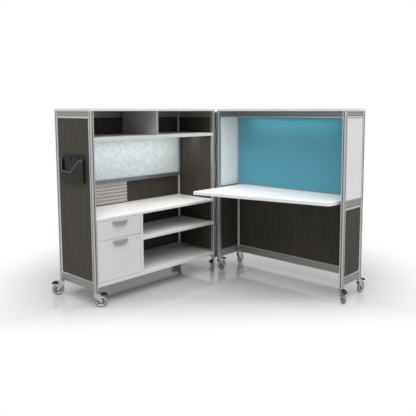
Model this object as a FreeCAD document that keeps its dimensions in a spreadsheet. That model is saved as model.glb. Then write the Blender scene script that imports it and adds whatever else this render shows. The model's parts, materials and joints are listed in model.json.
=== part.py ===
import FreeCAD, Part
import math
import os
import types

import Sketcher

# A folding office on wheels: a storage unit and a desk unit, joined by an upright hinge
# and stored open at a right angle. Both units stand on four casters.
# X runs along the storage unit, Y from its open front to its back, Z up from the floor.

# Driving sizes, in millimetres, degrees and counts
SIZES = {
    # Both units
    "unit_length": 1280,
    "storage_depth": 472,
    "desk_depth": 296,
    "fold_gap": 8,
    "cover_thickness": 19,
    "board_ease": 1,
    "overrun": 1,
    # Slotted posts and grooved rails
    "post_width": 28,
    "post_ease": 2,
    "slot_width": 8,
    "slot_depth": 5,
    "rail_inset": 2,
    "top_rail_height": 48,
    "base_rail_height": 58,
    "base_rail_lift": 15,
    "mid_rail_over_worktop": 3,
    "mid_rail_height": 67,
    "groove_width": 7,
    "groove_depth": 4,
    # Panels
    "panel_thickness": 16,
    "panel_inset": 5,
    # Storage unit, upper half
    "overhead_opening": 190,
    "overhead_thickness": 25,
    "divider_thickness": 18,
    "divider_to_hinge_end": 664,
    "tack_board_thickness": 18,
    "tack_board_height": 352,
    "tool_rail_height": 28,
    "tool_rail_depth": 22,
    "tool_slot_width": 8,
    "tool_slot_depth": 7,
    "slat_count": 6,
    "slat_tile_gap": 10,
    "slat_tile_height": 172,
    "slat_tile_depth": 14,
    "slat_groove_width": 7,
    "slat_groove_depth": 8,
    # Storage unit, lower half
    "credenza_top_height": 655,
    "credenza_top_thickness": 20,
    "credenza_base_lift": 36,
    "credenza_base_thickness": 28,
    "bay_shelf_drop": 182,
    "bay_shelf_thickness": 26,
    "bay_shelf_setback": 39,
    "grommet_radius": 45,
    "grommet_flange": 3,
    "grommet_sleeve_radius": 39,
    "grommet_sleeve_wall": 3,
    "grommet_fit": 0.3,
    "grommet_to_hinge_end": 146,
    "grommet_from_front": 239,
    "cable_notch_length": 34,
    "cable_notch_width": 14,
    # Pedestal and drawers
    "pedestal_opening": 401,
    "pedestal_side_thickness": 25,
    "pedestal_liner_thickness": 16,
    "drawer_gap": 3,
    "drawer_front_thickness": 18,
    "box_front_height": 144,
    "drawer_back_gap": 33,
    "drawer_box_wall": 3,
    "drawer_box_lift": 12,
    "box_drawer_headroom": 32,
    "lock_headroom": 4,
    "runner_thickness": 12,
    "runner_height": 36,
    "runner_lift": 6,
    "runner_wall": 3,
    "runner_gap": 1,
    "slide_fit": 0.4,
    # Pulls and lock
    "pull_length": 126,
    "pull_height": 28,
    "pull_reach": 24,
    "pull_slope": 6,
    "pull_sheet": 3,
    "pull_drop": 12,
    "pull_end_slant": 12,
    "lock_radius": 7,
    "lock_collar_radius": 9,
    "lock_collar": 2,
    "lock_fit": 0.05,
    "lock_to_side": 36,
    "lock_from_top": 26,
    "key_slot_length": 7,
    "key_slot_width": 1.6,
    "lock_cam_width": 8,
    "lock_cam_thickness": 3,
    "lock_bite": 8,
    "keeper_proud": 12,
    "keeper_seat": 6,
    "keeper_thickness": 2,
    "keeper_height": 24,
    "keeper_gap": 1,
    "keeper_fit": 0.1,
    # Side pocket
    "pocket_height": 208,
    "pocket_depth": 21,
    "pocket_wall": 3,
    "pocket_from_front": 88,
    "pocket_from_back": 94,
    "pocket_over_credenza": 258,
    # Desk unit
    "worktop_top": 764,
    "worktop_thickness": 28,
    "worktop_end_inset": 57,
    "worktop_overhang_at_hinge": 354,
    "worktop_overhang_at_far_end": 93,
    "worktop_outer_radius": 60,
    "worktop_tip_radius": 8,
    "worktop_edge_radius": 3,
    "desk_board_over_worktop": 7,
    "bracket_sheet": 4,
    "bracket_flange": 50,
    "bracket_from_front": 60,
    "bracket_from_back": 70,
    # Fold hinge
    "hinge_end_margin": 12,
    "knuckle_count": 9,
    "knuckle_gap": 0.3,
    "hinge_clearance": 0.3,
    "hinge_leaf_width": 24,
    "hinge_leaf_thickness": 2,
    "hinge_pin_radius": 1.5,
    "hinge_pin_fit": 0.05,
    "hinge_pin_head": 2,
    # Casters
    "caster_trail": 36,
    "wheel_radius": 46,
    "wheel_width": 20,
    "tread_ease": 4,
    "rim_radius": 33,
    "rim_recess": 3,
    "wheel_hub_radius": 12,
    "wheel_hub_proud": 0.6,
    "axle_radius": 4,
    "axle_head_radius": 6,
    "axle_head": 1,
    "axle_fit": 0.05,
    "fork_sheet": 2,
    "fork_side_gap": 1,
    "fork_hub_radius": 11,
    "wheel_top_gap": 7,
    "fork_crown": 7,
    "fork_crown_back": 12,
    "fork_heel": 14,
    "swivel_cup_radius": 12,
    "swivel_cup_height": 3.7,
    "swivel_gap": 0.3,
    "stem_radius": 5.5,
    "stem_length": 34,
    "stem_fit": 0.05,
    "stem_end_gap": 2,
    "brake_pivot_ahead": 28,
    "brake_ear_radius": 6,
    "brake_knuckle_radius": 4.6,
    "brake_pin_radius": 2,
    "brake_side_gap": 0.3,
    "brake_knuckle_gap": 3.4,
    "brake_pedal_gap": 3,
    "brake_neck_height": 7,
    "brake_pedal_rise": 4.4,
    "brake_pedal_ramp": 7,
    "brake_pedal_flat": 18,
    "brake_pedal_drop": 10,
    "brake_pedal_tip": 10,
    "brake_pedal_half_width": 14,
}

# How far each caster has swung round from +X, in degrees, as it stands at rest
CASTER_TURNS = {
    "storage_rear_left": 153,
    "storage_front_left": -40,
    "storage_front_right": 205,
    "storage_rear_right": 125,
    "desk_front_hinge": 0,
    "desk_rear_hinge": 10,
    "desk_rear_far": 0,
    "desk_front_far": 232,
}

# Heights of the two rail grooves, as shares of the rail's height
groove_shares = (0.3, 0.7)

# The pocket's front sheet and the tongue behind it, as shares of its width and height
pocket_front_shares = (
    (0, 0), (1, 0), (1, 0.8), (0.96, 0.8), (0.96, 0.38), (0.57, 0.34), (0.15, 0.8), (0, 0.8),
)
pocket_tongue_shares = (
    (0.24, 0), (0.74, 0), (0.9, 0.72), (0.84, 0.88), (0.6, 0.88),
    (0.59, 0.74), (0.55, 0.74), (0.54, 0.88), (0.26, 0.88), (0.16, 0.72),
)

doc = FreeCAD.newDocument("cubicle_workstation")
sheet = doc.addObject("Spreadsheet::Sheet", "sizes")


class Size:
    """A length taken from the sheet, or worked out from such lengths, with its expression."""

    def __init__(self, number, text):
        self.number = number
        self.text = text

    def __add__(self, other):
        return worked_out(self, "+", other)

    def __radd__(self, other):
        return worked_out(other, "+", self)

    def __sub__(self, other):
        return worked_out(self, "-", other)

    def __rsub__(self, other):
        return worked_out(other, "-", self)

    def __mul__(self, other):
        return worked_out(self, "*", other)

    def __rmul__(self, other):
        return worked_out(other, "*", self)

    def __truediv__(self, other):
        return worked_out(self, "/", other)

    def __neg__(self):
        return worked_out(0, "-", self)


def as_size(value):
    """A plain count or share as a Size, so that it can stand in a sum."""
    return value if isinstance(value, Size) else Size(value, repr(value))


def worked_out(left, sign, right):
    """The Size that two others give."""
    left, right = as_size(left), as_size(right)
    numbers = {
        "+": left.number + right.number,
        "-": left.number - right.number,
        "*": left.number * right.number,
        "/": left.number / right.number if right.number else math.inf,
    }
    return Size(numbers[sign], f"({left.text} {sign} {right.text})")


for row, (alias, number) in enumerate(SIZES.items(), 1):
    sheet.set(f"A{row}", alias)
    sheet.set(f"B{row}", str(number))
    sheet.setAlias(f"B{row}", alias)
doc.recompute()
s = types.SimpleNamespace(**{alias: Size(number, f"sizes.{alias}") for alias, number in SIZES.items()})

NOTHING = as_size(0)
AXES = {"x": FreeCAD.Vector(1, 0, 0), "y": FreeCAD.Vector(0, 1, 0), "z": FreeCAD.Vector(0, 0, 1)}


def bind(piece, **bound):
    """Ties properties of a piece to the sheet; a double underscore stands for a dot."""
    for name, value in bound.items():
        piece.setExpression(name.replace("__", "."), as_size(value).text)
    return piece


def put(piece, place):
    """Ties a piece's place to the sheet, and leaves its turn alone."""
    x, y, z = place
    return bind(piece, Placement__Base__x=x, Placement__Base__y=y, Placement__Base__z=z)


def board(name, low, high):
    """A square-edged board between its low and its high corner."""
    piece = doc.addObject("Part::Box", name)
    bind(piece, Length=high[0] - low[0], Width=high[1] - low[1], Height=high[2] - low[2])
    return put(piece, low)


def rod(name, radius, length, start, along="z"):
    """A round bar that starts at a point and runs along an axis."""
    piece = doc.addObject("Part::Cylinder", name)
    piece.Placement = FreeCAD.Placement(FreeCAD.Vector(), FreeCAD.Rotation(AXES["z"], AXES[along]))
    bind(piece, Radius=radius, Height=length)
    return put(piece, start)


def eased(name, base, size, direction=None):
    """The piece with its straight edges chamfered, or only those that run one way."""
    doc.recompute()
    chosen = []
    for number, edge in enumerate(base.Shape.Edges, 1):
        run = edge.tangentAt(edge.FirstParameter)
        if direction is None or abs(run.dot(AXES[direction])) > 1 - Part.Precision.confusion():
            chosen.append((number, size.number, size.number))
    piece = doc.addObject("Part::Chamfer", name)
    piece.Base = base
    piece.Edges = chosen
    return piece


def eased_board(name, low, high):
    """A finished board: its square core is kept beside it in the tree."""
    return eased(name, board(name + "_core", low, high), s.board_ease)


def cut(name, base, *tools):
    """The base with the tools taken out of it."""
    tool = tools[0]
    if len(tools) > 1:
        tool = doc.addObject("Part::Compound", name + "_tools")
        tool.Links = list(tools)
    piece = doc.addObject("Part::Cut", name)
    piece.Base, piece.Tool = base, tool
    return piece


def fused(name, *pieces):
    """The pieces as one solid."""
    piece = doc.addObject("Part::MultiFuse", name)
    piece.Shapes = list(pieces)
    piece.Refine = True
    return piece


def group(name, *pieces):
    """Separate solids that share one node."""
    piece = doc.addObject("Part::Compound", name)
    piece.Links = list(pieces)
    return piece


def origin_feature(body, role):
    """One of a body's own origin planes or axes."""
    return next(feature for feature in body.Origin.OriginFeatures if feature.Role == role)


def new_sketch(body, name, role, lift=NOTHING):
    """An empty sketch on one of the body's origin planes, raised along the plane's normal."""
    sketch = body.newObject("Sketcher::SketchObject", name)
    sketch.AttachmentSupport = [(origin_feature(body, role), "")]
    sketch.MapMode = "FlatFace"
    bind(sketch, AttachmentOffset__Base__z=lift)
    return sketch


def hold_point(sketch, geometry, point, place):
    """Holds a point of the sketch at two bound distances from its origin."""
    for kind, size in zip(("DistanceX", "DistanceY"), place):
        number = sketch.addConstraint(
            Sketcher.Constraint(kind, -1, 1, geometry, point, float(as_size(size).number))
        )
        sketch.setExpression(f"Constraints[{number}]", as_size(size).text)


def add_outline(sketch, points):
    """A closed outline of straight lines, held at each corner."""
    first = sketch.GeometryCount
    corners = [FreeCAD.Vector(as_size(x).number, as_size(y).number, 0) for x, y in points]
    count = len(corners)
    for n in range(count):
        sketch.addGeometry(Part.LineSegment(corners[n], corners[(n + 1) % count]), False)
    for n in range(count):
        after = first + (n + 1) % count
        sketch.addConstraint(Sketcher.Constraint("Coincident", first + n, 2, after, 1))
    for n, place in enumerate(points):
        hold_point(sketch, first + n, 1, place)


def add_circle(sketch, centre, radius):
    """A circle held by its centre and radius."""
    x, y = (as_size(value).number for value in centre)
    number = sketch.addGeometry(
        Part.Circle(FreeCAD.Vector(x, y, 0), AXES["z"], radius.number), False
    )
    hold_point(sketch, number, 3, centre)
    held = sketch.addConstraint(Sketcher.Constraint("Radius", number, radius.number))
    sketch.setExpression(f"Constraints[{held}]", radius.text)


def add_pad(body, sketch, length, middle=False):
    """Pads a sketch up from its plane, or by half each way."""
    feature = body.newObject("PartDesign::Pad", sketch.Name + "_pad")
    feature.Profile = sketch
    feature.Midplane = middle
    return bind(feature, Length=length)


def add_pocket(body, sketch, length, middle=False, reverse=False):
    """Cuts a sketch into the body, and stops if nothing comes away."""
    doc.recompute()
    before = body.Shape.Volume
    feature = body.newObject("PartDesign::Pocket", sketch.Name + "_pocket")
    feature.Profile = sketch
    feature.Midplane = middle
    feature.Reversed = reverse
    bind(feature, Length=length)
    doc.recompute()
    if body.Shape.Volume >= before:
        raise RuntimeError(f"{feature.Name} cuts nothing")
    return feature


# Where the two units stand: the hinge corner is the storage unit's front right corner
corner_x = (s.unit_length - s.fold_gap - s.desk_depth) / 2
corner_y = (s.unit_length + s.fold_gap - s.storage_depth) / 2
storage_left = corner_x - s.unit_length
storage_right = corner_x
storage_front = corner_y
storage_back = corner_y + s.storage_depth
desk_front = corner_x + s.fold_gap
desk_back = desk_front + s.desk_depth
desk_hinge_end = corner_y - s.fold_gap
desk_far_end = desk_hinge_end - s.unit_length
hinge_x = corner_x + s.fold_gap / 2
hinge_y = corner_y - s.fold_gap / 2

# Levels of a caster, from the floor up to the foot of its post
crown_bottom = 2 * s.wheel_radius + s.wheel_top_gap
crown_top = crown_bottom + s.fork_crown
cup_top = crown_top + s.swivel_cup_height
post_foot = cup_top + s.swivel_gap

# Levels shared by both units: what stands on the credenza sets the height of the frame
slat_top = s.credenza_top_height + s.slat_tile_gap + s.slat_tile_height
tack_board_bottom = slat_top + s.tool_rail_height
overhead_bottom = tack_board_bottom + s.tack_board_height
overhead_top = overhead_bottom + s.overhead_thickness
frame_top = overhead_top + s.overhead_opening
base_rail_bottom = post_foot + s.base_rail_lift
base_rail_top = base_rail_bottom + s.base_rail_height
top_rail_bottom = frame_top - s.top_rail_height
mid_rail_top = s.worktop_top + s.mid_rail_over_worktop
mid_rail_bottom = mid_rail_top - s.mid_rail_height
panel_face = s.panel_inset + s.panel_thickness

half_post = s.post_width / 2
POST_PLACES = {
    "storage_rear_left": (storage_left + half_post, storage_back - half_post),
    "storage_front_left": (storage_left + half_post, storage_front + half_post),
    "storage_front_right": (storage_right - half_post, storage_front + half_post),
    "storage_rear_right": (storage_right - half_post, storage_back - half_post),
    "desk_front_hinge": (desk_front + half_post, desk_hinge_end - half_post),
    "desk_rear_hinge": (desk_back - half_post, desk_hinge_end - half_post),
    "desk_rear_far": (desk_back - half_post, desk_far_end + half_post),
    "desk_front_far": (desk_front + half_post, desk_far_end + half_post),
}


def post_outline(x, y):
    """A square with a slot let into the middle of each side."""
    side, mouth, floor = half_post, s.slot_width / 2, half_post - s.slot_depth
    ease = s.post_ease
    quarter = [
        (side, ease - side), (side, -mouth), (floor, -mouth),
        (floor, mouth), (side, mouth), (side, side - ease),
    ]
    points = []
    for turn in range(4):
        for across, along in quarter:
            for _ in range(turn):
                across, along = -along, across
            points.append((x + across, y + along))
    return points


def posts(name, keys):
    """Four upright posts, each bored at its foot for a caster stem."""
    body = doc.addObject("PartDesign::Body", name)
    sketch = new_sketch(body, name + "_section", "XY_Plane", post_foot)
    for key in keys:
        add_outline(sketch, post_outline(*POST_PLACES[key]))
    add_pad(body, sketch, frame_top - post_foot)
    bores = new_sketch(body, name + "_stem_bores", "XY_Plane", post_foot)
    for key in keys:
        add_circle(bores, POST_PLACES[key], s.stem_radius + s.stem_fit)
    add_pocket(body, bores, s.stem_length + s.stem_end_gap, reverse=True)
    return body


def rail(name, low, high, along):
    """A flat rail with two long grooves in each broad face."""
    across = 1 if along == "x" else 0
    core = board(name + "_core", low, high)
    grooves = []
    for share in groove_shares:
        middle = low[2] + (high[2] - low[2]) * share
        for face, sign in ((low[across], 1), (high[across], -1)):
            start, stop = list(low), list(high)
            start[2] = middle - s.groove_width / 2
            stop[2] = middle + s.groove_width / 2
            start[across] = face - s.overrun if sign > 0 else face - s.groove_depth
            stop[across] = face + s.groove_depth if sign > 0 else face + s.overrun
            run = 0 if along == "x" else 1
            start[run] = low[run] - s.overrun
            stop[run] = high[run] + s.overrun
            grooves.append(board(f"{name}_groove_{len(grooves) + 1}", start, stop))
    return cut(name, core, *grooves)


def frame_rails(name, bottom, top, box, back):
    """Rails round three sides of a unit at one level: both ends and the back."""
    left, front, right, rear = box
    inset, thick, post = s.rail_inset, s.post_width - 2 * s.rail_inset, s.post_width
    rails = []
    if back == "y":
        for tag, x in (("left", left + inset), ("right", right - inset - thick)):
            low, high = (x, front + post, bottom), (x + thick, rear - post, top)
            rails.append(rail(f"{name}_{tag}", low, high, "y"))
        low = (left + post, rear - inset - thick, bottom)
        rails.append(rail(f"{name}_back", low, (right - post, rear - inset, top), "x"))
        return rails
    for tag, y in (("hinge_end", rear - inset - thick), ("far_end", front + inset)):
        low, high = (left + post, y, bottom), (right - post, y + thick, top)
        rails.append(rail(f"{name}_{tag}", low, high, "x"))
    if back == "x":
        low = (right - inset - thick, front + post, bottom)
        rails.append(rail(f"{name}_back", low, (right - inset, rear - post, top), "y"))
    return rails


storage_box = (storage_left, storage_front, storage_right, storage_back)
desk_box = (desk_front, desk_far_end, desk_back, desk_hinge_end)

# Storage unit: frame, covers and panels
storage_keys = [key for key in POST_PLACES if key.startswith("storage")]
desk_keys = [key for key in POST_PLACES if key.startswith("desk")]
parts = [posts("storage_posts", storage_keys)]
storage_levels = (
    ("storage_top_rail", top_rail_bottom, frame_top),
    ("storage_base_rail", base_rail_bottom, base_rail_top),
)
rails = [
    piece for name, low, high in storage_levels for piece in frame_rails(name, low, high, storage_box, "y")
]
parts.append(group("storage_rails", *rails))
parts.append(eased_board(
    "storage_top_cover",
    (storage_left, storage_front, frame_top),
    (storage_right, storage_back, frame_top + s.cover_thickness),
))

inner_left = storage_left + s.post_width
inner_right = storage_right - s.post_width
back_face = storage_back - panel_face
storage_panels = [board(
    "storage_back",
    (inner_left, back_face, base_rail_top),
    (inner_right, back_face + s.panel_thickness, top_rail_bottom),
)]
for tag, x in (("left", storage_left + s.panel_inset), ("right", storage_right - panel_face)):
    low = (x, storage_front + s.post_width, base_rail_top)
    high = (x + s.panel_thickness, storage_back - s.post_width, top_rail_bottom)
    storage_panels.append(board(f"storage_{tag}_end", low, high))
parts.append(group("storage_panels", *storage_panels))

# Overhead compartments, tack board and wall tiles
parts.append(eased_board(
    "overhead_shelf",
    (inner_left, storage_front, overhead_bottom),
    (inner_right, back_face, overhead_top),
))
divider_middle = storage_right - s.divider_to_hinge_end
parts.append(eased_board(
    "overhead_divider",
    (divider_middle - s.divider_thickness / 2, storage_front, overhead_top),
    (divider_middle + s.divider_thickness / 2, back_face - s.post_width / 2, frame_top),
))
parts.append(eased_board(
    "storage_tack_board",
    (inner_left, back_face - s.tack_board_thickness, tack_board_bottom),
    (inner_right, back_face, overhead_bottom),
))


def tool_rail():
    """The rail under the tack board, slotted along its front for hooks and trays."""
    front = back_face - s.tool_rail_depth
    middle = slat_top + s.tool_rail_height / 2
    core = board(
        "tool_rail_core", (inner_left, front, slat_top), (inner_right, back_face, tack_board_bottom)
    )
    slot = board(
        "tool_rail_slot",
        (inner_left - s.overrun, front - s.overrun, middle - s.tool_slot_width / 2),
        (inner_right + s.overrun, front + s.tool_slot_depth, middle + s.tool_slot_width / 2),
    )
    return cut("tool_rail", core, slot)


def slat_tile():
    """A grooved wall tile over half the width between the posts, a gap above the credenza."""
    body = doc.addObject("PartDesign::Body", "slat_wall_tile")
    sketch = new_sketch(body, "slat_section", "YZ_Plane", inner_left)
    bottom = s.credenza_top_height + s.slat_tile_gap
    pitch = s.slat_tile_height / s.slat_count
    front = back_face - s.slat_tile_depth
    floor = front + s.slat_groove_depth
    points = [(back_face, bottom), (front, bottom)]
    for number in range(1, SIZES["slat_count"]):
        lower = bottom + pitch * number - s.slat_groove_width / 2
        upper = lower + s.slat_groove_width
        points += [(front, lower), (floor, lower), (floor, upper), (front, upper)]
    points += [(front, slat_top), (back_face, slat_top)]
    add_outline(sketch, points)
    add_pad(body, sketch, (inner_right - inner_left) / 2)
    return body


parts.append(tool_rail())
parts.append(slat_tile())

# Credenza: top, grommet, base and open bay
credenza_bottom = s.credenza_top_height - s.credenza_top_thickness
grommet_x = storage_right - s.grommet_to_hinge_end
grommet_y = storage_front + s.grommet_from_front


def credenza_top():
    """The low worktop, bored for the cable grommet."""
    slab = eased_board(
        "credenza_slab",
        (inner_left, storage_front, credenza_bottom),
        (inner_right, back_face, s.credenza_top_height),
    )
    hole = rod(
        "grommet_hole",
        s.grommet_sleeve_radius + s.grommet_fit,
        s.credenza_top_thickness + 2 * s.overrun,
        (grommet_x, grommet_y, credenza_bottom - s.overrun),
    )
    return cut("credenza_top", slab, hole)


def cable_grommet():
    """A capped sleeve with a notch for the cables."""
    deck = s.credenza_top_height
    flange = rod("grommet_flange_disc", s.grommet_radius, s.grommet_flange, (grommet_x, grommet_y, deck))
    sleeve = rod(
        "grommet_sleeve",
        s.grommet_sleeve_radius,
        s.credenza_top_thickness,
        (grommet_x, grommet_y, credenza_bottom),
    )
    hollow = rod(
        "grommet_hollow",
        s.grommet_sleeve_radius - s.grommet_sleeve_wall,
        s.credenza_top_thickness + s.overrun,
        (grommet_x, grommet_y, credenza_bottom - s.overrun),
    )
    half = s.cable_notch_length / 2
    notch_middle = grommet_y + s.grommet_sleeve_radius / 2
    notch = board(
        "grommet_notch",
        (grommet_x - half, notch_middle - s.cable_notch_width / 2, deck - s.overrun),
        (grommet_x + half, notch_middle + s.cable_notch_width / 2, deck + s.grommet_flange + s.overrun),
    )
    return cut("cable_grommet", fused("grommet_blank", flange, sleeve), hollow, notch)


parts.append(credenza_top())
parts.append(cable_grommet())
base_bottom = post_foot + s.credenza_base_lift
base_top = base_bottom + s.credenza_base_thickness
rear_rail_face = storage_back - s.post_width
parts.append(eased_board(
    "credenza_base", (inner_left, storage_front, base_bottom), (inner_right, rear_rail_face, base_top)
))
pedestal_inside = inner_left + s.pedestal_opening
pedestal_outside = pedestal_inside + s.pedestal_side_thickness
liner_face = inner_left + s.pedestal_liner_thickness
bay_shelf_top = credenza_bottom - s.bay_shelf_drop
parts.append(eased_board(
    "bay_shelf",
    (pedestal_outside, storage_front, bay_shelf_top - s.bay_shelf_thickness),
    (inner_right, back_face - s.bay_shelf_setback, bay_shelf_top),
))
box_start = storage_front + s.drawer_front_thickness
box_front_top = credenza_bottom - s.drawer_gap
box_front_bottom = box_front_top - s.box_front_height
file_front_top = box_front_bottom - s.drawer_gap
file_front_bottom = base_top + s.drawer_gap

# The lock's cam hangs down at rest and turns in behind a keeper plate on the pedestal side
lock_x = pedestal_inside - s.lock_to_side
lock_z = file_front_top - s.lock_from_top
lock_cam_length = s.lock_to_side - s.keeper_proud + s.lock_bite
keeper_start = box_start + s.keeper_gap
keeper_end = keeper_start + s.keeper_thickness
cam_start = keeper_end + s.keeper_gap
keeper_low = (pedestal_inside - s.keeper_proud, keeper_start, lock_z - s.keeper_height / 2)
keeper_high = (pedestal_inside + s.keeper_seat, keeper_end, lock_z + s.keeper_height / 2)


def pedestal_side():
    """The side between drawers and bay, with a seat for the keeper plate."""
    blank = eased_board(
        "pedestal_side_blank",
        (pedestal_inside, storage_front, base_top),
        (pedestal_outside, rear_rail_face, credenza_bottom),
    )
    fit = s.keeper_fit
    seat = board(
        "keeper_seat",
        (pedestal_inside - s.overrun, keeper_low[1] - fit, keeper_low[2] - fit),
        (keeper_high[0], keeper_high[1] + fit, keeper_high[2] + fit),
    )
    return cut("pedestal_side", blank, seat)


parts.append(group(
    "pedestal_sides",
    board(
        "pedestal_liner",
        (inner_left, box_start + s.drawer_gap, base_top),
        (liner_face, rear_rail_face, credenza_bottom),
    ),
    pedestal_side(),
))
parts.append(board("lock_keeper", keeper_low, keeper_high))

# Drawers: each is a front, a steel box with side rails, and a pull
front_left = inner_left + s.drawer_gap
front_right = pedestal_inside - s.drawer_gap
box_left = liner_face + s.runner_thickness + s.runner_gap
box_right = pedestal_inside - s.runner_thickness - s.runner_gap
box_end = back_face - s.drawer_back_gap
DRAWERS = {
    "box": (box_front_bottom, box_front_top, box_front_top - s.box_drawer_headroom),
    "file": (file_front_bottom, file_front_top, lock_z - lock_cam_length - s.lock_headroom),
}


def runner_middle(front_bottom):
    """The height of a drawer's runners."""
    return front_bottom + s.drawer_box_lift + s.runner_lift + s.runner_height / 2


def runner(name, front_bottom, face, sign):
    """One fixed channel on a pedestal side, open towards the drawer and the front."""
    middle = runner_middle(front_bottom)
    half, wall = s.runner_height / 2, s.runner_wall
    start = box_start + s.drawer_gap
    inner = face + sign * s.runner_thickness
    web = face + sign * wall
    mouth = inner + sign * s.overrun
    low_x, high_x = (face, inner) if sign > 0 else (inner, face)
    cut_low, cut_high = (web, mouth) if sign > 0 else (mouth, web)
    channel = board(
        name + "_bar", (low_x, start, middle - half), (high_x, box_end + s.overrun, middle + half)
    )
    groove = board(
        name + "_groove",
        (cut_low, start - s.overrun, middle - half + wall),
        (cut_high, box_end + 2 * s.overrun, middle + half - wall),
    )
    return cut(name, channel, groove)


def drawer_front(name, bottom, top):
    """A drawer front that fills its opening but for the gap round it."""
    return eased_board(name, (front_left, storage_front, bottom), (front_right, box_start, top))


def drawer_box(kind, front_bottom, rim):
    """An open box with a rail on each side that runs in the channels."""
    wall, floor = s.drawer_box_wall, front_bottom + s.drawer_box_lift
    outer = board(f"{kind}_box_outer", (box_left, box_start, floor), (box_right, box_end, rim))
    inner = board(
        f"{kind}_box_inner",
        (box_left + wall, box_start + wall, floor + wall),
        (box_right - wall, box_end - wall, rim + s.overrun),
    )
    middle = runner_middle(front_bottom)
    half = s.runner_height / 2 - s.runner_wall - s.slide_fit
    reach = s.runner_thickness + s.runner_gap - s.runner_wall - s.slide_fit
    start = box_start + s.drawer_gap
    rails = []
    for side, low_x, high_x in (("left", box_left - reach, box_left), ("right", box_right, box_right + reach)):
        low, high = (low_x, start, middle - half), (high_x, box_end, middle + half)
        rails.append(board(f"{kind}_box_rail_{side}", low, high))
    return fused(f"{kind}_drawer_box", cut(f"{kind}_box_tray", outer, inner), *rails)


def pull(kind, front_top):
    """A folded sheet lip that hoods the fingers, its lower corners slanted."""
    body = doc.addObject("PartDesign::Body", f"{kind}_drawer_pull")
    start = (front_left + front_right - s.pull_length) / 2
    top = front_top - s.pull_drop
    back, sheet = storage_front, s.pull_sheet
    nose = back - s.pull_reach
    lip = top - s.pull_height
    section = new_sketch(body, f"{kind}_pull_section", "YZ_Plane", start)
    add_outline(section, [
        (back, top), (nose, top - s.pull_slope), (nose + s.pull_slope, lip),
        (nose + s.pull_slope + sheet, lip), (nose + sheet, top - s.pull_slope - sheet), (back, top - sheet),
    ])
    add_pad(body, section, s.pull_length)
    corners = new_sketch(body, f"{kind}_pull_corners", "XZ_Plane", -back)
    high, low = top - s.pull_height / 3, lip - s.overrun
    for edge, sign in ((start, 1), (start + s.pull_length, -1)):
        outside = edge - sign * s.overrun
        add_outline(corners, [(outside, high), (outside, low), (edge + sign * s.pull_end_slant, low)])
    add_pocket(body, corners, 2 * s.pull_reach, middle=True)
    return body


def file_front():
    """The lower front, bored for the lock."""
    blank = drawer_front("file_drawer_blank", file_front_bottom, file_front_top)
    bore = rod(
        "lock_bore",
        s.lock_radius + s.lock_fit,
        s.drawer_front_thickness + 2 * s.overrun,
        (lock_x, storage_front - s.overrun, lock_z),
        "y",
    )
    return cut("file_drawer_front", blank, bore)


def drawer_lock():
    """A key cylinder, its collar in front of the drawer and its tail behind it."""
    barrel = rod("lock_barrel", s.lock_radius, cam_start - storage_front, (lock_x, storage_front, lock_z), "y")
    collar_front = storage_front - s.lock_collar
    collar = rod("lock_collar_disc", s.lock_collar_radius, s.lock_collar, (lock_x, collar_front, lock_z), "y")
    half_width, half_length = s.key_slot_width / 2, s.key_slot_length / 2
    slot = board(
        "key_slot",
        (lock_x - half_width, collar_front - s.overrun, lock_z - half_length),
        (lock_x + half_width, storage_front + s.lock_collar, lock_z + half_length),
    )
    return cut("drawer_lock", fused("lock_blank", barrel, collar), slot)


def lock_cam():
    """The flat cam on the lock's tail."""
    half = s.lock_cam_width / 2
    return board(
        "lock_cam",
        (lock_x - half, cam_start, lock_z - lock_cam_length),
        (lock_x + half, cam_start + s.lock_cam_thickness, lock_z + half),
    )


runners = []
for kind, (bottom, top, rim) in DRAWERS.items():
    runners.append(runner(f"{kind}_runner_left", bottom, liner_face, 1))
    runners.append(runner(f"{kind}_runner_right", bottom, pedestal_inside, -1))
    parts.append(drawer_box(kind, bottom, rim))
    parts.append(pull(kind, top))
parts.append(group("drawer_runners", *runners))
parts.append(drawer_front("box_drawer_front", box_front_bottom, box_front_top))
parts.append(file_front())
parts.append(drawer_lock())
parts.append(lock_cam())


pocket_width = s.storage_depth - s.pocket_from_front - s.pocket_from_back


def pocket_sheet(name, shares, back, floor, start):
    """An upright sheet of the pocket, cut to an outline given in shares."""
    body = doc.addObject("PartDesign::Body", name)
    sketch = new_sketch(body, name + "_outline", "YZ_Plane", back)
    add_outline(sketch, [
        (start + pocket_width * across, floor + s.pocket_height * up) for across, up in shares
    ])
    add_pad(body, sketch, s.pocket_wall)
    return body


def side_pocket():
    """A document pocket on the left end panel: back, floor, sides, cut front and a tongue between."""
    face = storage_left + s.panel_inset
    front, wall = face - s.pocket_depth, s.pocket_wall
    start = storage_front + s.pocket_from_front
    stop = start + pocket_width
    floor = s.credenza_top_height + s.pocket_over_credenza
    top = floor + s.pocket_height
    side_top = floor + s.pocket_height * pocket_front_shares[2][1]
    middle = (front + face - wall) / 2
    return fused(
        "side_pocket",
        board("pocket_back", (face - wall, start, floor), (face, stop, top)),
        board("pocket_floor", (front, start, floor), (face, stop, floor + wall)),
        board("pocket_near_side", (front, start, floor), (face, start + wall, side_top)),
        board("pocket_far_side", (front, stop - wall, floor), (face, stop, side_top)),
        pocket_sheet("pocket_front", pocket_front_shares, front, floor, start),
        pocket_sheet("pocket_tongue", pocket_tongue_shares, middle, floor, start),
    )


parts.append(side_pocket())

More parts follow.
